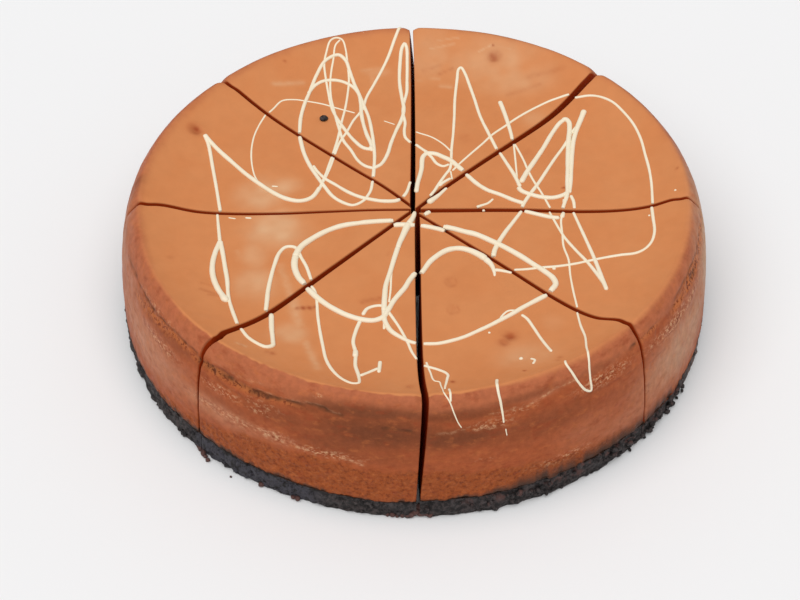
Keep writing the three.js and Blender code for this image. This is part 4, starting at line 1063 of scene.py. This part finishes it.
def rough_crumb(index, draw):
    """Place and size of one more lump in the rough part of a slice."""
    a = math.radians(draw.uniform(*ROUGH_FROM_TO[index]))
    z = draw.uniform(*ROUGH_HEIGHTS)
    r = OUTER_RADIUS - draw.uniform(*ROUGH_DEPTHS) + outline_offset(a)
    return (r * math.sin(a), -r * math.cos(a), z), draw.uniform(*ROUGH_SIZES)


def foot_crumbs(index):
    """Places and sizes of the gathered crumbs that lie in front of a slice."""
    low, high = CUT_LINES[index].azimuth[-1], CUT_LINES[index + 1].azimuth[-1]
    found = []
    for degrees, r, z, size in FOOT_CRUMBS:
        a = math.radians(degrees) % TAU
        if any(low <= turned < high for turned in (a, a - TAU, a + TAU)):
            found.append(((r * math.sin(a), -r * math.cos(a), z), size * FOOT_CRUMB_SIZE))
    return found


def crust_crumbs(index):
    """A crumb base's lumps, and which of their corners belong to loose ones."""
    draw = np.random.default_rng(100 + index)
    found = [wall_crumb(index, draw) for _ in range(CRUMBS_PER_SLICE)]
    if index < len(ROUGH_FROM_TO):
        found += [rough_crumb(index, draw) for _ in range(ROUGH_CRUMBS)]
    wall_crumbs = len(found)
    corners, faces = crumbs(*zip(*(found + foot_crumbs(index))), draw)
    return corners, faces, np.arange(len(corners)) >= wall_crumbs * len(BALL_CORNERS)


# ---- Drizzle's meshes ----------------------------------------------------------------------------

UNROLLED_TIP = 3
SLOPE_STEP, NO_SLOPE_RADIUS = 0.5, 4


def unrolled_profile():
    """Distance along the skin beyond the crest, with the radius and height there."""
    side = filling_profile(UNROLLED_TIP)
    run = run_of(side)
    crest = np.argmax(side[:, 1])
    beyond = CREST_RADIUS + run - run[crest]
    return np.column_stack([np.where(np.arange(len(side)) < crest, side[:, 0], beyond), side])


UNROLLED = unrolled_profile()


def skin_place(reach):
    """Radius and height of the skin at a distance of the unrolled plan."""
    inside = reach < CREST_RADIUS
    r = np.where(inside, reach, np.interp(reach, UNROLLED[:, 0], UNROLLED[:, 1]))
    return r, np.where(inside, top_height(reach), np.interp(reach, UNROLLED[:, 0], UNROLLED[:, 2]))


def lay_on_cake(plan):
    """Places on the skin, and its normals, for points of the unrolled plan."""
    reach = np.hypot(*plan.T)
    a = azimuth_of(*plan.T)
    r, z = skin_place(reach)
    ahead_r, ahead_z = skin_place(reach + SLOPE_STEP)
    slope = np.column_stack([ahead_r - r, ahead_z - z])
    slope = np.where(reach[:, None] < NO_SLOPE_RADIUS, [[1.0, 0.0]], slope)
    slope /= np.linalg.norm(slope, axis=1, keepdims=True)
    normal_r, normal_z = -slope[:, 1], slope[:, 0]
    relief = skin_relief(r * np.sin(a), -r * np.cos(a), z, r, degrees_of(a))
    r = r + relief * normal_r + outline_offset(a) * r / OUTER_RADIUS
    return around(r, a, z + relief * normal_z), around(normal_r, a, normal_z)


def slice_at(plan):
    """Number of the slice that each point lies on, or -1 in a gap."""
    a = azimuth_of(*plan.T) % TAU
    r, z = skin_place(np.hypot(*plan.T))
    found = np.full(len(plan), -1)
    for i in range(SLICES):
        low, high = slice_faces(i, r, z)
        for turned in (a, a + TAU, a - TAU):
            found[(turned > low) & (turned < high)] = i
    return found


# A strand's height as a share of its width: for thin strands, more for thick ones.
STRAND_TALL, STRAND_TALLER, STRAND_WIDTHS = 0.3, 0.14, (0.8, 1.8)
STRAND_ROUNDNESS = 0.85
STRAND_UNDERSIDE, STRAND_SUNK = 0.7, 0.35
NOT_ZERO = 1e-9


def unit(vectors):
    return vectors / (np.linalg.norm(vectors, axis=1, keepdims=True) + NOT_ZERO)


def strand_mesh(plan, widths, open_start, open_end):
    """A bead along the plan: half an oval across, closed at both ends."""
    place, normal = lay_on_cake(plan)
    across = unit(np.cross(unit(np.gradient(place, axis=0)), normal))
    run = run_of(place)
    swell = np.ones(len(run))
    for from_end, is_open in ((run, open_start), (run[-1] - run, open_end)):
        near = np.clip(from_end / (0.5 * widths), 0, 1)
        floor = FREE_END_FLOOR if is_open else CUT_END_FLOOR
        swell = np.minimum(swell, np.sqrt(np.maximum(1 - (1 - near) ** 2, floor)))
    half = 0.5 * widths * swell
    tall = (STRAND_TALL + STRAND_TALLER * smooth(widths, *STRAND_WIDTHS)) * 2 * half
    rings = []
    for t in np.linspace(0, math.pi, STRAND_SECTION_SIDES):
        side = math.copysign(abs(math.cos(t)) ** STRAND_ROUNDNESS, math.cos(t))
        rings.append(place + across * (half * side)[:, None] + normal * (tall * math.sin(t))[:, None])
    for side in (-STRAND_UNDERSIDE, STRAND_UNDERSIDE):
        rings.append(place + across * (half * side)[:, None] - normal * STRAND_SUNK)
    return np.stack(rings, axis=1).reshape(-1, 3), grid_faces(len(place), len(rings))


def drawn_out(end, before):
    """Where a strand's end would be if it ran on straight, so that a cut can trim it."""
    return end + (end - before) * STRAND_OVERRUN / np.linalg.norm(end - before)


def pour(points):
    """The strand's path and slices, drawn out over the edge of a cut that it almost meets."""
    plan = catmull_rom(points, STRAND_SPACING)
    owner = slice_at(plan)
    starts_free, ends_free = True, True
    steps = int(STRAND_OVERRUN / STRAND_SPACING)
    nodes = np.array(points, float)
    lead = np.linspace(drawn_out(nodes[0], nodes[1]), plan[0], steps, endpoint=False)
    tail = np.linspace(plan[-1], drawn_out(nodes[-1], nodes[-2]), steps + 1)[1:]
    for extra, at_start in ((lead[::-1], True), (tail, False)):
        owners = slice_at(extra)
        own = owner[owner >= 0][0 if at_start else -1]
        same = np.cumprod(owners == own).astype(bool)
        if same.all() and (owner[0] if at_start else owner[-1]) >= 0:
            continue
        kept, marks = extra[same], owners[same]
        if at_start:
            plan, owner, starts_free = np.vstack([kept[::-1], plan]), np.concatenate([marks, owner]), False
        else:
            plan, owner, ends_free = np.vstack([plan, kept]), np.concatenate([owner, marks]), False
    return plan, owner, starts_free, ends_free


FEWEST_POINTS = 3


def runs_on_slices(owner, starts_free, ends_free):
    """Splits a strand where it crosses a gap: (slice, first, last, starts free, ends free)."""
    runs, start, count = [], 0, len(owner)
    for i in range(1, count + 1):
        if i == count or owner[i] != owner[start]:
            if owner[start] >= 0 and i - start >= FEWEST_POINTS:
                runs.append((owner[start], start, i, start == 0 and starts_free, i == count and ends_free))
            start = i
    return runs


WIDTH_WAVES, WIDTH_WAVES_SEED = (0.12, 6), 71
WIDTH_RIPPLES, WIDTH_RIPPLES_SEED = (0.06, 2), 191


def strand_widths(plan, start, end, number):
    flat = np.column_stack([plan, np.zeros(len(plan))])
    even = np.linspace(start, end, len(plan)) * STRAND_WIDTH_SHARE
    layers = (*WIDTH_WAVES, WIDTH_WAVES_SEED + number), (*WIDTH_RIPPLES, WIDTH_RIPPLES_SEED + number)
    return even * (1 + layered_noise(flat, *layers))


DROP_STEPS = 10


def poured_pieces():
    """Slice number, corners and faces of every run of every strand, and of the drops."""
    for number, (start, end, points) in enumerate(STRANDS):
        plan, owners, starts_free, ends_free = pour(points)
        widths = strand_widths(plan, start, end, number)
        for owner, first, last, free_start, free_end in runs_on_slices(owners, starts_free, ends_free):
            yield owner, *strand_mesh(plan[first:last], widths[first:last], free_start, free_end)
    for x, y, width in DROPS:
        plan = np.array([(x - width / 2 + width * k / DROP_STEPS, y) for k in range(DROP_STEPS + 1)])
        yield slice_at(np.array([(x, y)]))[0], *strand_mesh(plan, np.full(len(plan), width), True, True)


def make_drizzle(material):
    gathered = [([], []) for _ in range(SLICES)]
    offsets = [0] * SLICES
    for owner, vertices, faces in poured_pieces():
        gathered[owner][0].append(vertices)
        gathered[owner][1].extend([tuple(k + offsets[owner] for k in face) for face in faces])
        offsets[owner] += len(vertices)
    for index, (parts, faces) in enumerate(gathered):
        name = f"cake_drizzle_{index + 1}"
        piece = make_object(name, np.vstack(parts), faces, material, DRIZZLE_SHARP)
        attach(piece, "root")


TOP_CRUMB_SEED = 7
TOP_CRUMB_LIFT, TOP_CRUMB_SINK = 0.35, 0.8
TOP_CRUMB_SECOND, TOP_CRUMB_SECOND_SIZE = (0.9, 0.3, -0.1), 0.6
TOP_CRUMB_NARROW, TOP_CRUMB_FLAT = 0.75, 0.5


def make_top_crumb(material):
    """One dark crumb that has stuck to the top."""
    x, y, size = TOP_CRUMB
    place = np.array([x, y, float(top_height(math.hypot(x, y))) + TOP_CRUMB_LIFT])
    z = place[2]
    draw = np.random.default_rng(TOP_CRUMB_SEED)
    corners, faces = crumbs([place, place + TOP_CRUMB_SECOND], [size, size * TOP_CRUMB_SECOND_SIZE], draw)
    corners[:, 1] = y + (corners[:, 1] - y) * TOP_CRUMB_NARROW
    corners[:, 2] = np.maximum(z + (corners[:, 2] - z) * TOP_CRUMB_FLAT, z - TOP_CRUMB_SINK)
    piece = make_object("cake_top_crumb", corners, faces.tolist(), material, CRUMB_SHARP)
    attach(piece, "root")


# ---- Materials -----------------------------------------------------------------------------------

NOISE_DETAIL, NOISE_ROUGHNESS = 3.0, 0.55
# Sockets of a colour mix: its factor and its two colours, and its result.
MIX_INPUTS, MIX_OUTPUT = (0, 6, 7), 2


class Nodes:
    """Small helper to build a material's node tree."""

    def __init__(self, name):
        self.material = bpy.data.materials.new(name)
        self.material.use_nodes = True
        self.tree = self.material.node_tree
        self.shader = self.tree.nodes["Principled BSDF"]
        self.place = self.add("ShaderNodeTexCoord").outputs["Object"]

    def add(self, kind, **settings):
        node = self.tree.nodes.new(kind)
        for key, value in settings.items():
            setattr(node, key, value)
        return node

    def put(self, value, socket):
        if isinstance(value, bpy.types.NodeSocket):
            self.tree.links.new(value, socket)
        elif isinstance(value, tuple):
            socket.default_value = (*value, 1)
        else:
            socket.default_value = value

    def noise(self, cell_mm, detail=NOISE_DETAIL, roughness=NOISE_ROUGHNESS, stretch=(1, 1, 1)):
        mapping = self.add("ShaderNodeMapping")
        mapping.inputs["Scale"].default_value = stretch
        self.put(self.place, mapping.inputs["Vector"])
        node = self.add("ShaderNodeTexNoise")
        node.inputs["Scale"].default_value = 1 / (cell_mm * MM)
        node.inputs["Detail"].default_value = detail
        node.inputs["Roughness"].default_value = roughness
        self.put(mapping.outputs[0], node.inputs["Vector"])
        return node.outputs["Fac"]

    def grains(self, settings, span):
        """A noise that is spread over a range."""
        return self.range(self.noise(*settings), *span)

    def mask(self, name):
        return self.add("ShaderNodeAttribute", attribute_name=name).outputs["Fac"]

    def range(self, source, low, high, to_low=0.0, to_high=1.0):
        node = self.add("ShaderNodeMapRange")
        node.interpolation_type = "SMOOTHSTEP"
        names = ("Value", "From Min", "From Max", "To Min", "To Max")
        for name, value in zip(names, (source, low, high, to_low, to_high)):
            self.put(value, node.inputs[name])
        return node.outputs["Result"]

    def mix(self, factor, low, high, blend="MIX"):
        node = self.add("ShaderNodeMix", data_type="RGBA", blend_type=blend)
        for value, socket in zip((factor, low, high), MIX_INPUTS):
            self.put(value, node.inputs[socket])
        return node.outputs[MIX_OUTPUT]

    def times(self, one, other):
        node = self.add("ShaderNodeMath", operation="MULTIPLY")
        self.put(one, node.inputs[0])
        self.put(other, node.inputs[1])
        return node.outputs[0]

    def bump(self, height, distance_mm, strength, after=None):
        node = self.add("ShaderNodeBump")
        node.inputs["Distance"].default_value = distance_mm * MM
        self.put(strength, node.inputs["Strength"])
        self.put(height, node.inputs["Height"])
        if after is not None:
            self.put(after, node.inputs["Normal"])
        return node.outputs["Normal"]


TOP_BROWN = (0.618, 0.225, 0.081)
TOP_BROWN_PALE = (0.628, 0.240, 0.090)
SMEAR = (0.69, 0.385, 0.205)
# Colour of the top's dark marks and of the shade painted in the pits.
MARK_AND_PIT_SHADE_BROWN = (0.31, 0.050, 0.013)
SHOULDER_BROWN = (0.44, 0.130, 0.056)
SIDE_BROWN = (0.385, 0.093, 0.032)
SIDE_DARK = (0.165, 0.048, 0.020)
# Colour of the painted sheen on the side, also used for the back's paler areas.
SIDE_SHEEN_AND_PALE = (0.49, 0.195, 0.103)
BAND_BROWN = (0.335, 0.080, 0.021)
BAND_SPECK = (0.14, 0.026, 0.008)
BAND_GRAIN = (0.50, 0.150, 0.045)
SIDE_RED = (0.28, 0.052, 0.018)
SIDE_ORANGE = (0.50, 0.145, 0.045)
FLAKE_SHADE = (0.19, 0.038, 0.012)
SIDE_FLECK = (0.70, 0.40, 0.22)
# Colour of the shade painted in the creases.
CREASE_SHADE_BROWN = (0.095, 0.037, 0.017)
TORN_ORANGE = (0.56, 0.170, 0.050)
TORN_PIT = (0.13, 0.020, 0.006)
# Colours of the painted greyish sheen at the side's far ends.
SIDE_SHEEN_PALE = (0.58, 0.35, 0.205)
SIDE_SHEEN_TAUPE = (0.40, 0.235, 0.165)
FACE_BROWN = (0.40, 0.045, 0.006)
CRUMB_BLACK = (0.013, 0.010, 0.010)
CRUMB_GREY = (0.060, 0.046, 0.045)
CRUMB_COOL = (0.052, 0.048, 0.060)
CRUMB_WARM = (0.105, 0.047, 0.040)
# Colour of the crumb dust and of the shade painted under the filling's foot.
DUST_AND_GAP_SHADE_BROWN = (0.075, 0.038, 0.026)
WORN_BROWN = (0.17, 0.093, 0.068)
CREAM = (0.86, 0.74, 0.53)
CREAM_PALE = (0.90, 0.81, 0.64)


# Noises of the looks: feature size in millimetres, detail, roughness and stretch, then the
# range that is drawn from each. A share says how much of a colour shows.
TOP_CLOUDS = ((24,), (0.35, 0.65))
TOP_MOTTLE = ((5, 4), (0.3, 0.7, 0.98, 1.02))
BAND_SHARE, BAND_GRAINS = 0.9, (1.5, 4, 0.65)
SPECK_SPAN, SPECK_SHARE = (0.50, 0.64), 0.65
GRAIN_SPAN, GRAIN_SHARE = (0.44, 0.34), 0.5
RED_BLOTCHES, RED_SHARE = ((6, 4, 0.6, (1, 1, 2.2)), (0.5, 0.72)), 0.5
ORANGE_BLOTCHES, ORANGE_SHARE = ((4.5, 4, 0.6, (1, 1, 1.8)), (0.52, 0.75)), 0.45
# Noises of the painted greyish sheen at the side's far ends.
TAUPE_CLOUDS, TAUPE_SHARE = ((9, 3, 0.55, (1, 1, 0.7)), (0.46, 0.66)), 0.8
GREY_SHEEN_STREAKS = ((3, 4, 0.6, (1, 1, 0.5)), (0.3, 0.6, 0.35, 0.8))
TORN_PITS, TORN_SHARE = ((1.4, 4, 0.65), (0.51, 0.58)), 0.85
FLAKES = (1.7, 5, 0.7, (1, 1, 1.7))
FLECK_SPAN, SHADE_SPAN, LINE_SPAN = (0.51, 0.61), (0.47, 0.39), (0.44, 0.56, 0.15, 0.85)
CREASE_SHARE = 0.9
SIDE_MOTTLE = ((2.4, 5, 0.65), (0.3, 0.7, 0.90, 1.10))
FILLING_GLOSS, FILLING_SPECULAR = ((4,), (0.3, 0.7, 0.42, 0.62)), 0.08
# Bumps: depth in millimetres and strength.
FINE_SKIN, FINE_DEPTH, FINE_SPAN = (0.8, 4, 0.6), 0.10, (0.0, 1.0, 0.12, 0.6)
BAND_DEPTH, BAND_BUMP = 0.8, 0.8
FLECK_DEPTH, FLECK_BUMP = 0.3, 0.45


def top_colour(n):
    top = n.mix(n.grains(*TOP_CLOUDS), TOP_BROWN, TOP_BROWN_PALE)
    top = n.mix(n.mask("pale"), top, SMEAR)
    return n.mix(1.0, top, n.grains(*TOP_MOTTLE), "MULTIPLY")


def side_colour(n, grain, flakes, flecks):
    # The "light" mask paints sheen: the floor's pale reflection on the side.
    side = n.mix(n.mask("light"), SIDE_BROWN, SIDE_SHEEN_AND_PALE)
    side = n.mix(n.mask("dark"), side, SIDE_DARK)
    band = n.mix(n.times(n.range(grain, *SPECK_SPAN), SPECK_SHARE), BAND_BROWN, BAND_SPECK)
    band = n.mix(n.times(n.range(grain, *GRAIN_SPAN), GRAIN_SHARE), band, BAND_GRAIN)
    side = n.mix(n.times(n.mask("band"), BAND_SHARE), side, band)
    side = n.mix(n.mask("shoulder"), side, n.mix(n.mask("dark"), SHOULDER_BROWN, SIDE_DARK))
    side = n.mix(n.times(n.grains(*RED_BLOTCHES), RED_SHARE), side, SIDE_RED)
    side = n.mix(n.times(n.grains(*ORANGE_BLOTCHES), ORANGE_SHARE), side, SIDE_ORANGE)
    # Painted sheen: taupe clouds and pale streaks at the side's far ends.
    cloudy = n.times(n.mask("grey_sheen"), n.grains(*TAUPE_CLOUDS))
    side = n.mix(n.times(cloudy, TAUPE_SHARE), side, SIDE_SHEEN_TAUPE)
    side = n.mix(n.times(n.mask("grey_sheen"), n.grains(*GREY_SHEEN_STREAKS)), side, SIDE_SHEEN_PALE)
    torn = n.mix(n.grains(*TORN_PITS), TORN_ORANGE, TORN_PIT)
    side = n.mix(n.times(n.mask("torn"), TORN_SHARE), side, torn)
    side = n.mix(n.times(n.mask("fleck"), n.range(flakes, *SHADE_SPAN)), side, FLAKE_SHADE)
    side = n.mix(n.times(n.mask("fleck"), flecks), side, SIDE_FLECK)
    side = n.mix(n.times(n.mask("line"), n.range(flakes, *LINE_SPAN)), side, SIDE_FLECK)
    # Painted shade in the creases.
    side = n.mix(n.times(n.mask("crease_shade"), CREASE_SHARE), side, CREASE_SHADE_BROWN)
    return n.mix(1.0, side, n.grains(*SIDE_MOTTLE), "MULTIPLY")


def filling_material():
    n = Nodes("baked chocolate filling")
    grain = n.noise(*BAND_GRAINS)
    flakes = n.noise(*FLAKES)
    flecks = n.range(flakes, *FLECK_SPAN)
    colour = n.mix(n.mask("side"), top_colour(n), side_colour(n, grain, flakes, flecks))
    # Dark marks with painted shade in the pits, crumb dust with painted shade under the foot, then the cut
    # faces.
    for name, over in (("mark_and_pit_shade", MARK_AND_PIT_SHADE_BROWN), ("dust", DUST_AND_GAP_SHADE_BROWN), ("face", FACE_BROWN)):
        colour = n.mix(n.mask(name), colour, over)
    n.put(colour, n.shader.inputs["Base Color"])
    n.put(n.grains(*FILLING_GLOSS), n.shader.inputs["Roughness"])
    n.put(FILLING_SPECULAR, n.shader.inputs["Specular IOR Level"])
    fine = n.bump(n.noise(*FINE_SKIN), FINE_DEPTH, n.range(n.mask("side"), *FINE_SPAN))
    rough = n.bump(grain, BAND_DEPTH, n.times(n.mask("band"), BAND_BUMP), fine)
    rough = n.bump(flecks, FLECK_DEPTH, n.times(n.mask("fleck"), FLECK_BUMP), rough)
    n.put(rough, n.shader.inputs["Normal"])
    return n.material


CRUMB_NOISE, CRUMB_SPAN, CRUMB_COOL_SPAN = (2.0, 5, 0.7), (0.43, 0.60), (0.38, 0.52)
CRUST_GLOSS, CRUST_SPECULAR = ((2.2,), (0.35, 0.65, 0.5, 0.8)), 0.35
CRUMB_DEPTH_MM, CRUMB_BUMP = 1.0, 1.0


def crust_material():
    n = Nodes("black crumb base")
    crumb = n.noise(*CRUMB_NOISE)
    colour = n.mix(n.range(crumb, *CRUMB_SPAN), CRUMB_BLACK, CRUMB_GREY)
    cool = n.mix(n.range(crumb, *CRUMB_COOL_SPAN), CRUMB_BLACK, CRUMB_COOL)
    layers = (("cool", cool), ("warm", CRUMB_WARM), ("worn", WORN_BROWN), ("inner", CRUMB_BLACK),
              ("ledge", CRUMB_BLACK))
    for name, over in layers:
        colour = n.mix(n.mask(name), colour, over)
    n.put(colour, n.shader.inputs["Base Color"])
    n.put(n.grains(*CRUST_GLOSS), n.shader.inputs["Roughness"])
    n.put(CRUST_SPECULAR, n.shader.inputs["Specular IOR Level"])
    n.put(n.bump(crumb, CRUMB_DEPTH_MM, CRUMB_BUMP), n.shader.inputs["Normal"])
    return n.material


DRIZZLE_CLOUDS, DRIZZLE_SKIN = (5,), (1.5,)
DRIZZLE_ROUGHNESS, DRIZZLE_SPECULAR = 0.42, 0.4
DRIZZLE_DEPTH, DRIZZLE_BUMP = 0.15, 0.3


def drizzle_material():
    n = Nodes("cream chocolate drizzle")
    n.put(n.mix(n.noise(*DRIZZLE_CLOUDS), CREAM, CREAM_PALE), n.shader.inputs["Base Color"])
    n.put(DRIZZLE_ROUGHNESS, n.shader.inputs["Roughness"])
    n.put(DRIZZLE_SPECULAR, n.shader.inputs["Specular IOR Level"])
    n.put(n.bump(n.noise(*DRIZZLE_SKIN), DRIZZLE_DEPTH, DRIZZLE_BUMP), n.shader.inputs["Normal"])
    return n.material


# ---- Stage, light and camera -----------------------------------------------------------------------

CAMERA_FOCAL_PIXELS = 2200.6
SENSOR_WIDTH = 36
CLIP_START = 0.01
PHOTO_WIDTH_PIXELS = 800
CAMERA_DISTANCE = 848.2
CAMERA_ELEVATION = math.radians(44.03)
CAMERA_ROLL = math.radians(-0.85)
CAMERA_TARGET = (-6.0, -20.3, 19.0)


def make_camera():
    camera = bpy.data.objects.new("camera", bpy.data.cameras.new("camera"))
    camera.data.sensor_width = SENSOR_WIDTH
    camera.data.lens = SENSOR_WIDTH * CAMERA_FOCAL_PIXELS / PHOTO_WIDTH_PIXELS
    camera.data.clip_start = CLIP_START
    back = np.array([0, -math.cos(CAMERA_ELEVATION), math.sin(CAMERA_ELEVATION)])
    right = np.array([1.0, 0, 0])
    up = np.array([0, math.sin(CAMERA_ELEVATION), math.cos(CAMERA_ELEVATION)])
    turned_right = math.cos(CAMERA_ROLL) * right + math.sin(CAMERA_ROLL) * up
    turned_up = math.cos(CAMERA_ROLL) * up - math.sin(CAMERA_ROLL) * right
    place = (np.array(CAMERA_TARGET) + back * CAMERA_DISTANCE) * MM
    matrix = np.eye(4)
    matrix[:3] = np.column_stack([turned_right, turned_up, back, place])
    camera.matrix_world = Matrix(matrix.tolist())
    bpy.context.scene.collection.objects.link(camera)
    bpy.context.scene.camera = camera


FLOOR_SIZE = 3.0
FLOOR_COLOUR = (0.86, 0.86, 0.865)
FLOOR_ROUGHNESS = 0.9


def make_stage():
    s = FLOOR_SIZE
    mesh = bpy.data.meshes.new("floor")
    mesh.from_pydata([(-s, -s, 0), (s, -s, 0), (s, s, 0), (-s, s, 0)], [], [(0, 1, 2, 3)])
    floor = bpy.data.objects.new("floor", mesh)
    bpy.context.scene.collection.objects.link(floor)
    material = bpy.data.materials.new("pale floor")
    material.use_nodes = True
    shader = material.node_tree.nodes["Principled BSDF"]
    shader.inputs["Base Color"].default_value = (*FLOOR_COLOUR, 1)
    shader.inputs["Roughness"].default_value = FLOOR_ROUGHNESS
    mesh.materials.append(material)


WORLD_COLOUR = (1, 1, 1, 1)
WORLD_STRENGTH = 0.44
SUN_STRENGTH = 2.04
SUN_SOFTNESS = math.radians(70)
SUN_FROM = (-0.12, -0.34, 1.0)


def make_lights():
    world = bpy.data.worlds.new("white tent")
    world.use_nodes = True
    background = world.node_tree.nodes["Background"]
    background.inputs["Color"].default_value = WORLD_COLOUR
    background.inputs["Strength"].default_value = WORLD_STRENGTH
    bpy.context.scene.world = world
    light = bpy.data.lights.new("soft overhead", "SUN")
    light.energy = SUN_STRENGTH
    light.angle = SUN_SOFTNESS
    lamp = bpy.data.objects.new("soft overhead", light)
    lamp.rotation_mode = "QUATERNION"
    lamp.rotation_quaternion = (-Vector(SUN_FROM)).to_track_quat("-Z", "Y")
    bpy.context.scene.collection.objects.link(lamp)
    bpy.context.scene.view_settings.view_transform = "Standard"


filling_look = filling_material()
crust_look = crust_material()
for slice_index in range(SLICES):
    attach(make_filling(slice_index, filling_look), "root")
    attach(make_crust(slice_index, crust_look), "root")
make_drizzle(drizzle_material())
make_top_crumb(crust_look)
make_stage()
make_lights()
make_camera()
